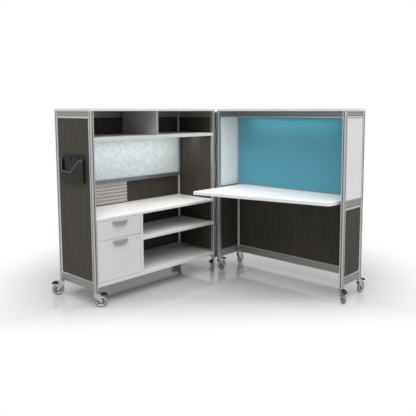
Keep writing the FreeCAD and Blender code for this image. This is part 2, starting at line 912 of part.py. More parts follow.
# Desk unit: frame, cover, panels and tack board
parts.append(posts("desk_posts", desk_keys))
desk_levels = (
    ("desk_top_rail", top_rail_bottom, frame_top, "x"),
    ("desk_base_rail", base_rail_bottom, base_rail_top, "x"),
    ("desk_mid_rail", mid_rail_bottom, mid_rail_top, "none"),
)
rails = [
    piece for name, low, high, back in desk_levels for piece in frame_rails(name, low, high, desk_box, back)
]
parts.append(group("desk_rails", *rails))
parts.append(eased_board(
    "desk_top_cover",
    (desk_front, desk_far_end, frame_top),
    (desk_back, desk_hinge_end, frame_top + s.cover_thickness),
))
desk_back_face = desk_back - panel_face
parts.append(board(
    "desk_back_panel",
    (desk_back_face, desk_far_end + s.post_width, base_rail_top),
    (desk_back_face + s.panel_thickness, desk_hinge_end - s.post_width, top_rail_bottom),
))
board_face = desk_back_face - s.tack_board_thickness
parts.append(eased_board(
    "desk_tack_board",
    (board_face, desk_far_end + s.post_width, s.worktop_top + s.desk_board_over_worktop),
    (desk_back_face, desk_hinge_end - s.post_width, top_rail_bottom),
))
for name, low_z, high_z in (
    ("desk_upper_end_panels", mid_rail_top, top_rail_bottom),
    ("desk_lower_end_panels", base_rail_top, mid_rail_bottom),
):
    pair = []
    for tag, y in (("hinge", desk_hinge_end - panel_face), ("far", desk_far_end + s.panel_inset)):
        low = (desk_front + s.post_width, y, low_z)
        high = (desk_back - s.post_width, y + s.panel_thickness, high_z)
        pair.append(board(f"{name}_{tag}", low, high))
    parts.append(group(name, *pair))

# Worktop, deep at the hinge end and shallow at the far end so that it swings in over the credenza
worktop_bottom = s.worktop_top - s.worktop_thickness
worktop_near = desk_hinge_end - s.worktop_end_inset
worktop_far = desk_far_end + s.worktop_end_inset
worktop_tip = desk_front - s.worktop_overhang_at_hinge
worktop_outer = desk_front - s.worktop_overhang_at_far_end


def upright_edge(shape, x, y):
    """The name of the upright edge nearest to a place in plan."""
    def miss(item):
        middle = item[1].BoundBox.Center
        upright = abs(item[1].tangentAt(item[1].FirstParameter).z) > 1 - Part.Precision.confusion()
        return math.hypot(middle.x - x.number, middle.y - y.number) if upright else math.inf
    return "Edge%d" % min(enumerate(shape.Edges, 1), key=miss)[0]


def worktop():
    """The tapered slab, its outer front corner well rounded and its edges softened."""
    body = doc.addObject("PartDesign::Body", "desk_worktop")
    sketch = new_sketch(body, "worktop_outline", "XY_Plane", worktop_bottom)
    add_outline(sketch, [
        (board_face, worktop_near), (worktop_tip, worktop_near),
        (worktop_outer, worktop_far), (board_face, worktop_far),
    ])
    last = add_pad(body, sketch, s.worktop_thickness)
    for name, radius, x, y in (
        ("worktop_outer_corner", s.worktop_outer_radius, worktop_outer, worktop_far),
        ("worktop_tip_corner", s.worktop_tip_radius, worktop_tip, worktop_near),
    ):
        doc.recompute()
        fillet = body.newObject("PartDesign::Fillet", name)
        fillet.Base = (last, [upright_edge(last.Shape, x, y)])
        last = bind(fillet, Radius=radius)
    doc.recompute()
    top_edges = [
        f"Edge{number}"
        for number, edge in enumerate(last.Shape.Edges, 1)
        if edge.BoundBox.ZLength < s.overrun.number / 2
    ]
    soft = body.newObject("PartDesign::Fillet", "worktop_soft_edges")
    soft.Base = (last, top_edges)
    bind(soft, Radius=s.worktop_edge_radius)
    return body


def bracket(name, face, sign):
    """An angle bracket that carries one end of the worktop on the mid rail."""
    sheet_thickness = s.bracket_sheet
    start, stop = desk_front + s.bracket_from_front, desk_back - s.bracket_from_back
    web, toe = face + sign * sheet_thickness, face + sign * (s.worktop_end_inset + s.bracket_flange)
    web_low, web_high = (face, web) if sign > 0 else (web, face)
    toe_low, toe_high = (face, toe) if sign > 0 else (toe, face)
    shelf_bottom = worktop_bottom - sheet_thickness
    return fused(
        name,
        board(name + "_web", (start, web_low, mid_rail_bottom), (stop, web_high, worktop_bottom)),
        board(name + "_shelf", (start, toe_low, shelf_bottom), (stop, toe_high, worktop_bottom)),
    )


rail_depth = s.post_width - s.rail_inset
parts.append(worktop())
parts.append(group(
    "worktop_brackets",
    bracket("worktop_bracket_hinge", desk_hinge_end - rail_depth, -1),
    bracket("worktop_bracket_far", desk_far_end + rail_depth, 1),
))


# Fold hinge: a leaf on each unit, knuckles by turns on one pin
def knuckles(name, numbers, leaf, tab):
    """A leaf with its knuckles and the tabs that join them, bored for the pin."""
    foot = post_foot + s.hinge_end_margin
    length = frame_top - s.hinge_end_margin - foot
    pitch = (length + s.knuckle_gap) / s.knuckle_count
    radius = s.fold_gap / 2 - s.hinge_clearance
    pieces = [board(name + "_plate", (*leaf[0], foot), (*leaf[1], foot + length))]
    for number in numbers:
        start = foot + pitch * number
        run = pitch - s.knuckle_gap
        pieces.append(rod(f"{name}_knuckle_{number}", radius, run, (hinge_x, hinge_y, start)))
        pieces.append(board(f"{name}_tab_{number}", (*tab[0], start), (*tab[1], start + run)))
    bore = rod(
        name + "_bore",
        s.hinge_pin_radius + s.hinge_pin_fit,
        length + 2 * s.overrun,
        (hinge_x, hinge_y, foot - s.overrun),
    )
    return cut(name, fused(name + "_blank", *pieces), bore)


leaf_start = s.fold_gap / 2
thin = s.hinge_leaf_thickness
storage_leaf = knuckles(
    "storage_leaf",
    range(0, SIZES["knuckle_count"], 2),
    ((corner_x, hinge_y + leaf_start), (corner_x + thin, corner_y + s.hinge_leaf_width)),
    ((corner_x + s.hinge_clearance, hinge_y), (corner_x + thin, corner_y + thin)),
)
pin_top = frame_top - s.hinge_end_margin
hinge_pin = fused(
    "fold_hinge_pin",
    rod(
        "fold_pin_shank",
        s.hinge_pin_radius,
        pin_top - post_foot - s.hinge_end_margin,
        (hinge_x, hinge_y, post_foot + s.hinge_end_margin),
    ),
    rod("fold_pin_head", s.fold_gap / 2 - s.hinge_clearance, s.hinge_pin_head, (hinge_x, hinge_y, pin_top)),
)
parts.append(group("fold_hinge_storage_leaf", storage_leaf, hinge_pin))
parts.append(knuckles(
    "fold_hinge_desk_leaf",
    range(1, SIZES["knuckle_count"], 2),
    ((hinge_x + leaf_start, desk_hinge_end), (desk_front + s.hinge_leaf_width, desk_hinge_end + thin)),
    ((hinge_x, desk_hinge_end + s.hinge_clearance), (desk_front + thin, desk_hinge_end + thin)),
))


# Casters, each drawn trailing along +X under its stem and then set under its post
fork_half = s.wheel_width / 2 + s.fork_side_gap + s.fork_sheet
cheek_face = s.wheel_width / 2 + s.fork_side_gap
hub = (s.caster_trail, s.wheel_radius)
brake_pivot_height = crown_top - s.brake_ear_radius
brake_pivot = (s.brake_pivot_ahead, brake_pivot_height)
crown_front = s.brake_pivot_ahead - s.brake_knuckle_radius - s.brake_knuckle_gap


def set_under_post(body, key, ahead=NOTHING, up=NOTHING):
    """Turns a caster piece to its rest angle and sets it under its post."""
    turn = math.radians(CASTER_TURNS[key])
    body.Placement = FreeCAD.Placement(
        FreeCAD.Vector(), FreeCAD.Rotation(AXES["z"], CASTER_TURNS[key])
    )
    x, y = POST_PLACES[key]
    return put(body, (x + ahead * math.cos(turn), y + ahead * math.sin(turn), up))


def caster_fork(key):
    """Crown, two tapered cheeks, axle, brake pin, swivel cup and stem."""
    name = f"caster_fork_{key}"
    body = doc.addObject("PartDesign::Body", name)
    side = new_sketch(body, name + "_side", "XZ_Plane")
    ear = s.brake_ear_radius
    add_outline(side, [
        (-s.fork_crown_back, crown_top), (s.brake_pivot_ahead + ear, crown_top),
        (s.brake_pivot_ahead + ear, brake_pivot_height - ear),
        (s.caster_trail + s.fork_hub_radius, s.wheel_radius),
        (s.caster_trail, s.wheel_radius - s.fork_hub_radius),
        (s.caster_trail - s.fork_hub_radius, s.wheel_radius),
        (-s.fork_crown_back, crown_bottom - s.fork_heel),
    ])
    add_pad(body, side, 2 * fork_half, middle=True)
    boss = new_sketch(body, name + "_hub", "XZ_Plane")
    add_circle(boss, hub, s.fork_hub_radius)
    add_pad(body, boss, 2 * fork_half, middle=True)
    well = new_sketch(body, name + "_well", "XZ_Plane")
    far, low = s.caster_trail + 2 * s.wheel_radius, -s.overrun
    add_outline(well, [
        (-s.wheel_radius, low), (far, low), (far, post_foot),
        (crown_front, post_foot), (crown_front, crown_bottom),
        (-s.wheel_radius, crown_bottom),
    ])
    add_pocket(body, well, 2 * cheek_face, middle=True)
    for tag, place, radius in (
        ("axle", hub, s.axle_radius), ("brake_pin", brake_pivot, s.brake_pin_radius),
    ):
        sketch = new_sketch(body, f"{name}_{tag}", "XZ_Plane")
        add_circle(sketch, place, radius)
        add_pad(body, sketch, 2 * fork_half, middle=True)
    for tag, sign in (("near", -1), ("far", 1)):
        sketch = new_sketch(body, f"{name}_{tag}_head", "XZ_Plane", sign * fork_half)
        add_circle(sketch, hub, s.axle_head_radius)
        feature = add_pad(body, sketch, s.axle_head)
        feature.Reversed = sign < 0
    for tag, radius, start, height in (
        ("cup", s.swivel_cup_radius, crown_top, s.swivel_cup_height),
        ("stem", s.stem_radius, cup_top, s.stem_length + s.swivel_gap),
    ):
        sketch = new_sketch(body, f"{name}_{tag}", "XY_Plane", start)
        add_circle(sketch, (NOTHING, NOTHING), radius)
        add_pad(body, sketch, height)
    return set_under_post(body, key)


def caster_wheel(key):
    """Tyre, recessed rim and hub, turned about the axle."""
    name = f"caster_wheel_{key}"
    body = doc.addObject("PartDesign::Body", name)
    sketch = new_sketch(body, name + "_section", "XY_Plane")
    half, ease = s.wheel_width / 2, s.tread_ease
    hub_half, web = half + s.wheel_hub_proud, half - s.rim_recess
    side = [
        (s.axle_radius + s.axle_fit, hub_half), (s.wheel_hub_radius, hub_half),
        (s.wheel_hub_radius, web), (s.rim_radius, web), (s.rim_radius, half),
        (s.wheel_radius - ease, half), (s.wheel_radius - ease / 3, half - ease / 3),
        (s.wheel_radius, half - ease),
    ]
    add_outline(sketch, side + [(radius, -across) for radius, across in reversed(side)])
    turned = body.newObject("PartDesign::Revolution", name + "_turned")
    turned.Profile = sketch
    turned.ReferenceAxis = (origin_feature(body, "Y_Axis"), [""])
    turned.Angle = 360
    return set_under_post(body, key, s.caster_trail, s.wheel_radius)


def caster_brake(key):
    """A stout foot pedal over the wheel, on a pin between the fork's ears."""
    name = f"caster_brake_{key}"
    body = doc.addObject("PartDesign::Body", name)
    neck_half = cheek_face - s.brake_side_gap
    knuckle = new_sketch(body, name + "_knuckle", "XZ_Plane")
    add_circle(knuckle, brake_pivot, s.brake_knuckle_radius)
    add_pad(body, knuckle, 2 * neck_half, middle=True)
    top = brake_pivot_height + s.brake_knuckle_radius
    start = s.brake_pivot_ahead + s.brake_ear_radius + s.brake_pedal_gap
    thick = s.brake_neck_height
    neck = new_sketch(body, name + "_neck", "XZ_Plane")
    add_outline(neck, [
        (s.brake_pivot_ahead, top), (start + thick, top), (start + thick, top - thick),
        (s.brake_pivot_ahead, top - thick),
    ])
    add_pad(body, neck, 2 * neck_half, middle=True)
    pedal = new_sketch(body, name + "_pedal", "XZ_Plane")
    deck, deck_start = top + s.brake_pedal_rise, start + s.brake_pedal_ramp
    reach = s.caster_trail + s.wheel_radius
    add_outline(pedal, [
        (start, top), (deck_start, deck), (deck_start + s.brake_pedal_flat, deck),
        (reach, deck - s.brake_pedal_drop), (reach, deck - s.brake_pedal_drop - s.brake_pedal_tip),
        (start, top - thick),
    ])
    add_pad(body, pedal, 2 * s.brake_pedal_half_width, middle=True)
    bore = new_sketch(body, name + "_bore", "XZ_Plane")
    add_circle(bore, brake_pivot, s.brake_pin_radius + s.axle_fit)
    add_pocket(body, bore, 2 * fork_half, middle=True)
    return set_under_post(body, key)


for key in CASTER_TURNS:
    parts += [caster_fork(key), caster_wheel(key), caster_brake(key)]

# Build, check and write every piece
doc.recompute()
faults = [item.Name for item in doc.Objects if {"Invalid", "Error"} & set(item.State)]
faults += [part.Label for part in parts if part.Shape.isNull() or not part.Shape.isValid()]
if faults:
    raise RuntimeError("not built: " + ", ".join(faults))
os.makedirs("parts", exist_ok=True)
for part in parts:
    part.Shape.exportStep(f"parts/{part.Label}.step")
whole = FreeCAD.BoundBox()
for part in parts:
    whole.add(part.Shape.BoundBox)
print(len(parts), "nodes,", sum(len(part.Shape.Solids) for part in parts), "solids")
print("outer box", whole)
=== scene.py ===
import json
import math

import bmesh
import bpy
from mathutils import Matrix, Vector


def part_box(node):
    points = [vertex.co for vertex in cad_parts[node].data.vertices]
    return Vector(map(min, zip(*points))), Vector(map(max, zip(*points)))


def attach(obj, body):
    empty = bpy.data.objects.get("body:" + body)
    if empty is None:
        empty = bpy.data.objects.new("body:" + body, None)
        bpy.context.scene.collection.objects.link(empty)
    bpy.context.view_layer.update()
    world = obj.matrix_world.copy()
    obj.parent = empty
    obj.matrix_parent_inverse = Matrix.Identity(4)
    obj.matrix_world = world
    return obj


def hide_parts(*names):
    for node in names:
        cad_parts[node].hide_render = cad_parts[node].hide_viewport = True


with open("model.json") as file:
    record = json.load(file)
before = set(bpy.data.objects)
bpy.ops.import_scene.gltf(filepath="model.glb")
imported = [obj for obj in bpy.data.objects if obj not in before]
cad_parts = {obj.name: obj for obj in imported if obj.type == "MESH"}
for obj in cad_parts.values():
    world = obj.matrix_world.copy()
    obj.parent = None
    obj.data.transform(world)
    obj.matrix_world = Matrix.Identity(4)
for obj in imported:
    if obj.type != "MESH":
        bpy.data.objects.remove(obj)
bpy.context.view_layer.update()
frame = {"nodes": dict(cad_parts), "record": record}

# %% [markdown]
# # A folding office on wheels
# The CAD frame holds every real part: posts, rails, boards, drawers, casters and the
# hinge that lets the desk unit close against the storage unit like a book. This lesson
# dresses that frame. It gives each part the finish that its maker would give it, adds
# the small things that CAD leaves out, and then sets up the floor, light and camera.

nodes = frame["nodes"]
joints = {joint["name"]: joint for joint in frame["record"]["behaviour"]["joints"]}
MM = 0.001

# %% [markdown]
# ## Colours and nodes
# Colours are written as a designer reads them off a fan deck, in sRGB hex, and one
# function turns them to the linear values that a shader works in. Another adds a node,
# sets its sockets and links it, so that each finish below reads as a short recipe. Most
# finishes end alike, with a tone and a fine relief, and one function does that. The last
# gives a space in which streaks, such as grain, have their real size in millimetres.

# %% Colour and node helpers
def linear(hex_colour):
    """An sRGB hex colour as linear RGBA."""
    shares = [int(hex_colour[place:place + 2], 16) / 255 for place in (1, 3, 5)]
    return (*[(c / 12.92 if c <= 0.04045 else ((c + 0.055) / 1.055) ** 2.4) for c in shares], 1)


def dimmed(hex_colour, share):
    """The same linear colour with a share of its light."""
    return (*[share * c for c in linear(hex_colour)[:3]], 1)


def add(tree, kind, sockets=None, links=None, **properties):
    """Adds a node with its properties, socket values and incoming links."""
    node = tree.nodes.new(kind)
    for name, value in properties.items():
        setattr(node, name, value)
    for name, value in (sockets or {}).items():
        node.inputs[name].default_value = value
    for name, source in (links or {}).items():
        tree.links.new(source, node.inputs[name])
    return node


def new_finish(name, **sockets):
    """A material with one Principled shader; sockets are its constant values."""
    material = bpy.data.materials.new(name)
    material.use_nodes = True
    tree = material.node_tree
    shader = tree.nodes["Principled BSDF"]
    for socket, value in sockets.items():
        shader.inputs[socket.replace("_", " ")].default_value = value
    return material, tree, shader


def surface(tree, shader, tone, grain, strength, depth, gloss=None):
    """Gives the shader a tone, and from a grain a relief in mm and, if asked, a range of roughness."""
    relief = {"Strength": strength, "Distance": depth * MM}
    bump = add(tree, "ShaderNodeBump", relief, {"Height": grain})
    tree.links.new(tone, shader.inputs["Base Color"])
    tree.links.new(bump.outputs["Normal"], shader.inputs["Normal"])
    if gloss:
        spread = {"To Min": gloss[0], "To Max": gloss[1]}
        roughness = add(tree, "ShaderNodeMapRange", spread, {"Value": grain})
        tree.links.new(roughness.outputs["Result"], shader.inputs["Roughness"])


def set_ramp(ramp_node, *stops):
    """Gives a colour ramp its stops, each a position and a hex colour."""
    for element, (position, colour) in zip(ramp_node.color_ramp.elements, stops):
        element.position, element.color = position, linear(colour)


def grain_space(tree, across, along, axis):
    """Object coordinates stretched so that a noise of scale 1 has streaks of that size in mm."""
    scale = [1 / (across * MM)] * 3
    scale["XYZ".index(axis)] = 1 / (along * MM)
    coordinates = add(tree, "ShaderNodeTexCoord")
    return add(
        tree, "ShaderNodeMapping", {"Scale": scale}, {"Vector": coordinates.outputs["Object"]}
    ).outputs["Vector"]


print("helpers ready")

# %% [markdown]
# ## Anodised aluminium
# The posts and rails are extrusions: the die leaves faint lines along the length, and
# anodising turns the metal an even neutral grey with a satin gloss. Its clear oxide skin
# also scatters a little light, so the finish is not wholly metallic. A noise drawn out
# along the bar gives the lines to tone, roughness and bump. The lines must follow each
# bar, so the finish is made once for posts and once for rails. The rails of one part run
# two ways, and there the side that a face looks to tells which way its bar runs. The
# trim and the pulls have the same finish. The rails and the pulls take darker tones than
# the posts, which are painted shade, and the trim a lighter one, which is a painted
# highlight.

# %% The extrusion finish
def anodised_aluminium(name, dark, light, axis, turned_axis=None):
    """Satin extrusion with die lines along an axis; faces that look along X take the turned one."""
    material, tree, shader = new_finish(name, Metallic=0.75)
    die_lines = {"across": 1.2, "along": 400}
    space = grain_space(tree, **die_lines, axis=axis)
    if turned_axis:
        normal = add(tree, "ShaderNodeTexCoord").outputs["Normal"]
        side = add(tree, "ShaderNodeSeparateXYZ", links={"Vector": normal}).outputs["X"]
        unsigned = add(tree, "ShaderNodeMath", links={0: side}, operation="ABSOLUTE").outputs[0]
        looks_along_x = add(tree, "ShaderNodeMath", links={0: unsigned}, operation="ROUND").outputs[0]
        turned_space = grain_space(tree, **die_lines, axis=turned_axis)
        space = add(
            tree, "ShaderNodeMix", links={"Factor": looks_along_x, "A": space, "B": turned_space},
            data_type="VECTOR",
        ).outputs["Result"]
    lines = add(tree, "ShaderNodeTexNoise", {"Scale": 1.0, "Detail": 2.0}, {"Vector": space}).outputs["Fac"]
    tone = add(
        tree, "ShaderNodeMix", {"A": linear(dark), "B": linear(light)}, {"Factor": lines}, data_type="RGBA"
    ).outputs["Result"]
    surface(tree, shader, tone, lines, strength=0.12, depth=0.2, gloss=(0.28, 0.42))
    return material


upright_aluminium = anodised_aluminium("anodised_aluminium_posts", "#b8b8b7", "#d0d0cf", "Z")
# Darker than the posts: painted shade.
rail_aluminium_shaded = anodised_aluminium("anodised_aluminium_rails_painted_shade", "#959594", "#b0b0af", "X", "Y")
# Lighter than the posts: a painted highlight.
trim_aluminium_highlight = anodised_aluminium("anodised_aluminium_trim_painted_highlight", "#cacac9", "#dededd", "X")
# Darker than the posts: painted shade.
pull_aluminium_shaded = anodised_aluminium("anodised_aluminium_pulls_painted_shade", "#a6a6a5", "#bbbbba", "X")
print("four aluminium finishes made")

# %% [markdown]
# ## Woodgrain laminate
# The dark panels are a melamine laminate printed like wenge: long straight streaks about
# 9 mm wide, with finer pores among them, all upright. One stretched noise mixes two browns
# into the streaks, and another darkens the pores. A printed laminate has an even, low gloss
# and only a hint of pressed-in grain.

# %% The woodgrain finish
def woodgrain_laminate():
    """Dark upright grain under a matt melamine surface."""
    material, tree, shader = new_finish("wenge_laminate", Roughness=0.5, Specular_IOR_Level=0.2)
    streaks = add(
        tree, "ShaderNodeTexNoise", {"Scale": 1.0, "Detail": 4.0, "Roughness": 0.6, "Distortion": 0.3},
        {"Vector": grain_space(tree, across=9, along=420, axis="Z")},
    ).outputs["Fac"]
    pores = add(
        tree, "ShaderNodeTexNoise", {"Scale": 1.0, "Detail": 3.0, "Roughness": 0.7},
        {"Vector": grain_space(tree, across=1.6, along=45, axis="Z")},
    ).outputs["Fac"]
    browns = add(tree, "ShaderNodeValToRGB", links={"Fac": streaks})
    set_ramp(browns, (0.32, "#3b3732"), (0.68, "#4e4942"))
    shade = add(
        tree, "ShaderNodeMapRange", {"From Min": 0.35, "From Max": 0.6, "To Min": 0.82, "To Max": 1.0},
        {"Value": pores},
    ).outputs["Result"]
    tone = add(
        tree, "ShaderNodeMix", {"Factor": 1.0}, {"A": browns.outputs["Color"], "B": shade},
        data_type="RGBA", blend_type="MULTIPLY",
    ).outputs["Result"]
    surface(tree, shader, tone, pores, strength=0.2, depth=0.15)
    return material


wenge = woodgrain_laminate()
print(wenge.name)

# %% [markdown]
# ## White and grey laminate
# Worktops, covers, shelves and drawer fronts are plain coloured laminate. Pressed between
# polished plates with a release paper, it has a very fine pebble that softens reflections.
# The pebble is about a millimetre wide, and a slow noise varies the tone by a few percent,
# as large white boards do. The drawer fronts, etched panels and tile share the recipe.

# %% The plain laminate finish
def plain_laminate(name, colour, roughness):
    """Even coloured laminate with a fine pressed pebble."""
    material, tree, shader = new_finish(name, Coat_Weight=0.15, Coat_Roughness=0.3)
    coordinates = add(tree, "ShaderNodeTexCoord").outputs["Object"]
    cloud, pebble = [
        add(
            tree, "ShaderNodeTexNoise", {"Scale": 1 / size, "Detail": detail}, {"Vector": coordinates}
        ).outputs["Fac"]
        for size, detail in ((300 * MM, 2.0), (0.9 * MM, 1.0))
    ]
    tone = add(
        tree, "ShaderNodeMix", {"A": dimmed(colour, 0.95), "B": linear(colour)}, {"Factor": cloud},
        data_type="RGBA",
    ).outputs["Result"]
    gloss = (roughness - 0.05, roughness + 0.05)
    surface(tree, shader, tone, pebble, strength=0.08, depth=0.1, gloss=gloss)
    return material


white = plain_laminate("white_laminate", "#f2f2f1", roughness=0.38)
shelf_grey = plain_laminate("shelf_laminate", "#e4e4e3", roughness=0.42)
divider_grey = plain_laminate("divider_laminate", "#a9a9a8", roughness=0.45)
drawer_white = plain_laminate("drawer_lacquer", "#e2e2e1", roughness=0.40)
etched = plain_laminate("etched_panel", "#f0f0f0", roughness=0.50)
slat_white = plain_laminate("slat_tile_plastic", "#c1bdb9", roughness=0.50)
print("laminates made")

# %% [markdown]
# ## Woven cloth
# The large tack board is wrapped in a plain weave. Its threads are about 1 mm apart, too
# fine to show from across a room, so they are drawn at 2.5 mm. Two sets of waves that cross
# give the over and under of the weave, each thread drifts a little in tone, and a sheen
# lights the fibres that stand up at grazing angles.

# %% The woven finish
BANDS_PER_UNIT = 3.1416  # a wave texture of scale 1 draws about three bands in a unit


def woven_cloth(name, thread_colour, shadow_colour, thread=2.5 * MM):
    """Plain weave on an upright board that faces along X."""
    material, tree, shader = new_finish(name, Roughness=0.9, Sheen_Weight=0.35, Sheen_Roughness=0.5)
    coordinates = add(tree, "ShaderNodeTexCoord").outputs["Object"]
    wave_scale = 1 / (2 * thread) / BANDS_PER_UNIT
    waves = [
        add(
            tree, "ShaderNodeTexWave", {"Scale": wave_scale, "Distortion": 0.8, "Detail": 1.0},
            {"Vector": coordinates}, bands_direction=axis,
        ).outputs["Fac"]
        for axis in "YZ"
    ]
    crossing = add(tree, "ShaderNodeMath", links={0: waves[0], 1: waves[1]}, operation="MAXIMUM").outputs[0]
    drift = add(
        tree, "ShaderNodeTexNoise", {"Scale": 1.0, "Detail": 3.0},
        {"Vector": grain_space(tree, across=3, along=60, axis="Z")},
    ).outputs["Fac"]
    shade = add(
        tree, "ShaderNodeMath", {1: 0.35}, {0: drift, 2: crossing}, operation="MULTIPLY_ADD"
    ).outputs[0]
    # Where the crossing waves are low, the tone falls to the shadow colour: painted shade where the threads
    # dip under one another.
    tone = add(
        tree, "ShaderNodeMix", {"A": linear(shadow_colour), "B": linear(thread_colour)},
        {"Factor": shade}, data_type="RGBA",
    ).outputs["Result"]
    surface(tree, shader, tone, crossing, strength=0.5, depth=0.4)
    return material


teal_cloth = woven_cloth("teal_woven_cloth", "#4fa0b3", "#3f8b9e")
print(teal_cloth.name)

# %% [markdown]
# ## Felted tack surface
# The board over the credenza is a pale pressed felt: bluish white, with darker and
# lighter flecks a few millimetres across and soft clouds of tone behind them. One noise
# gives the flecks and a wider one the clouds, and the two are mixed in equal parts.

# %% The felt finish
def pressed_felt():
    """Pale felt with flecks."""
    material, tree, shader = new_finish("pressed_felt", Roughness=0.85, Sheen_Weight=0.2)
    coordinates = add(tree, "ShaderNodeTexCoord").outputs["Object"]
    cloud, fleck = [
        add(
            tree, "ShaderNodeTexNoise", {"Scale": 1 / size, "Detail": detail, "Roughness": roughness},
            {"Vector": coordinates},
        ).outputs["Fac"]
        for size, detail, roughness in ((34 * MM, 5.0, 0.65), (8 * MM, 4.0, 0.7))
    ]
    blend = add(tree, "ShaderNodeMix", {"Factor": 0.5}, {"A": cloud, "B": fleck}, data_type="FLOAT")
    tones = add(tree, "ShaderNodeValToRGB", links={"Fac": blend.outputs["Result"]})
    set_ramp(tones, (0.34, "#bcc7ca"), (0.66, "#ebf3f4"))
    surface(tree, shader, tones.outputs["Color"], fleck, strength=0.4, depth=0.5)
    return material


felt = pressed_felt()
print(felt.name)

# %% [markdown]
# ## Moulded plastic, polyurethane and coated steel
# The pocket and brake pedals are moulded black plastic with a spark-eroded grain of about
# 1 mm. A paler copy of it on the pocket's lip is a painted highlight, where the lip catches
# the light. The strips in slots and grooves are grey, as painted shade in those hollows,
# and the tyres are cast grey polyurethane. Drawer boxes, runners and brackets are powder
# coated, which dries to a fine orange peel. Chrome and nickel are plated: bare metal with a
# very smooth skin, so their grain is wide and has no relief. One recipe covers all of them,
# with its own colour, gloss and grain size for each.

# %% Grained finishes
def grained(name, colour, roughness, grain, strength=0.2, metallic=0.0, specular=0.5):
    """An even colour with a fine raised grain, whose size is in millimetres."""
    material, tree, shader = new_finish(name, Metallic=metallic, Specular_IOR_Level=specular)
    coordinates = add(tree, "ShaderNodeTexCoord").outputs["Object"]
    skin = add(
        tree, "ShaderNodeTexNoise", {"Scale": 1 / (grain * MM), "Detail": 2.0}, {"Vector": coordinates}
    ).outputs["Fac"]
    tone = add(
        tree, "ShaderNodeMix", {"A": dimmed(colour, 0.8), "B": linear(colour)}, {"Factor": skin},
        data_type="RGBA",
    ).outputs["Result"]
    gloss = (roughness - 0.08, roughness + 0.08)
    surface(tree, shader, tone, skin, strength, depth=0.3, gloss=gloss)
    return material


black_plastic = grained(
    "moulded_black_plastic", "#1c1c1d", roughness=0.5, grain=1.2, strength=0.25, specular=0.25
)
wheel_plastic = grained("moulded_grey_nylon", "#7d7f80", roughness=0.4, grain=1.2)
pale_plastic = grained("moulded_pale_plastic", "#d9d8d6", roughness=0.45, grain=1.2)
# A paler copy of the black plastic: a painted highlight where the pocket's lip catches the light.
lip_painted_highlight = grained("pocket_lip_painted_highlight", "#404041", roughness=0.45, grain=1.2)
# Dark grey strips in the posts' slots: painted shade for the slots' hollows.
slot_shade_plastic = grained("slot_painted_shade_strip", "#4f5051", roughness=0.5, grain=1.5)
# Grey strips in the rails' grooves: painted shade for the grooves.
groove_shade_plastic = grained("groove_painted_shade_strip", "#868787", roughness=0.5, grain=1.5)
tyre_rubber = grained("grey_polyurethane", "#909293", roughness=0.35, grain=2.0)
coated_steel = grained("powder_coated_steel", "#9ea0a2", roughness=0.45, grain=0.8)
black_steel = grained("black_coated_steel", "#1b1c1e", roughness=0.4, grain=0.8)
chrome = grained("polished_chrome", "#d8d8d9", roughness=0.14, grain=30, strength=0.0, metallic=1.0)
lock_nickel = grained("satin_nickel", "#ececeb", roughness=0.3, grain=30, strength=0.0, metallic=1.0)
print("grained finishes made")

# %% [markdown]
# ## Dressing the frame
# Each CAD part keeps its own mesh, and only its material slot changes. The slot is linked
# to the object, because a material put on the mesh itself would count as a changed mesh.

# %% Finishes for the CAD parts
FINISHES = {
    white: ("storage_top_cover", "desk_top_cover", "credenza_top", "desk_worktop"),
    shelf_grey: ("credenza_base", "bay_shelf", "overhead_shelf", "pedestal_sides"),
    divider_grey: ("overhead_divider",),
    drawer_white: ("box_drawer_front", "file_drawer_front"),
    wenge: ("storage_panels", "desk_back_panel", "desk_lower_end_panels"),
    etched: ("desk_upper_end_panels",),
    slat_white: ("slat_wall_tile",),
    felt: ("storage_tack_board",),
    teal_cloth: ("desk_tack_board",),
    pale_plastic: ("cable_grommet",),
    black_plastic: ("side_pocket",),
    coated_steel: (
        "box_drawer_box", "file_drawer_box", "drawer_runners", "worktop_brackets", "lock_keeper",
        "lock_cam",
    ),
    black_steel: ("fold_hinge_storage_leaf", "fold_hinge_desk_leaf"),
    lock_nickel: ("drawer_lock",),
    pull_aluminium_shaded: ("box_drawer_pull", "file_drawer_pull"),
    rail_aluminium_shaded: ("storage_rails", "desk_rails", "tool_rail"),
    upright_aluminium: ("storage_posts", "desk_posts"),
}
CASTER_FINISHES = {"fork": chrome, "wheel": tyre_rubber, "brake": black_plastic}


def dress(node, finish):
    """Puts a finish on a CAD part and leaves its mesh alone."""
    node.material_slots[0].link = "OBJECT"
    node.material_slots[0].material = finish


for finish, names in FINISHES.items():
    for name in names:
        dress(nodes[name], finish)
for name, node in nodes.items():
    if name.startswith("caster_"):
        dress(node, CASTER_FINISHES[name.split("_")[1]])
print(sum(len(names) for names in FINISHES.values()), "parts finished, and the casters")

# %% [markdown]
# ## Making extra pieces
# A piece is a mesh drawn straight in the object's own frame, in metres, so its object can
# stay at the origin. It rides on the CAD body that carries it, and takes the finish that it
# is given, or the one that its tree of nodes set.

# %% Helpers for pieces
def linked(name, data):
    """An object of a mesh, lamp or camera, linked to the scene."""
    thing = bpy.data.objects.new(name, data)
    bpy.context.scene.collection.objects.link(thing)
    return thing


def new_piece(name, mesh, body, finish=None, smooth_angle=None):
    """A piece from a mesh or a bmesh that rides on a body."""
    if isinstance(mesh, bmesh.types.BMesh):
        bmesh.ops.recalc_face_normals(mesh, faces=mesh.faces)
        drawn, mesh = mesh, bpy.data.meshes.new(name)
        drawn.to_mesh(mesh)
        drawn.free()
    if finish:
        mesh.materials.clear()
        mesh.materials.append(finish)
    if smooth_angle:
        mesh.shade_smooth()
        mesh.set_sharp_from_angle(angle=math.radians(smooth_angle))
    piece = linked(name, mesh)
    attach(piece, body)
    return piece


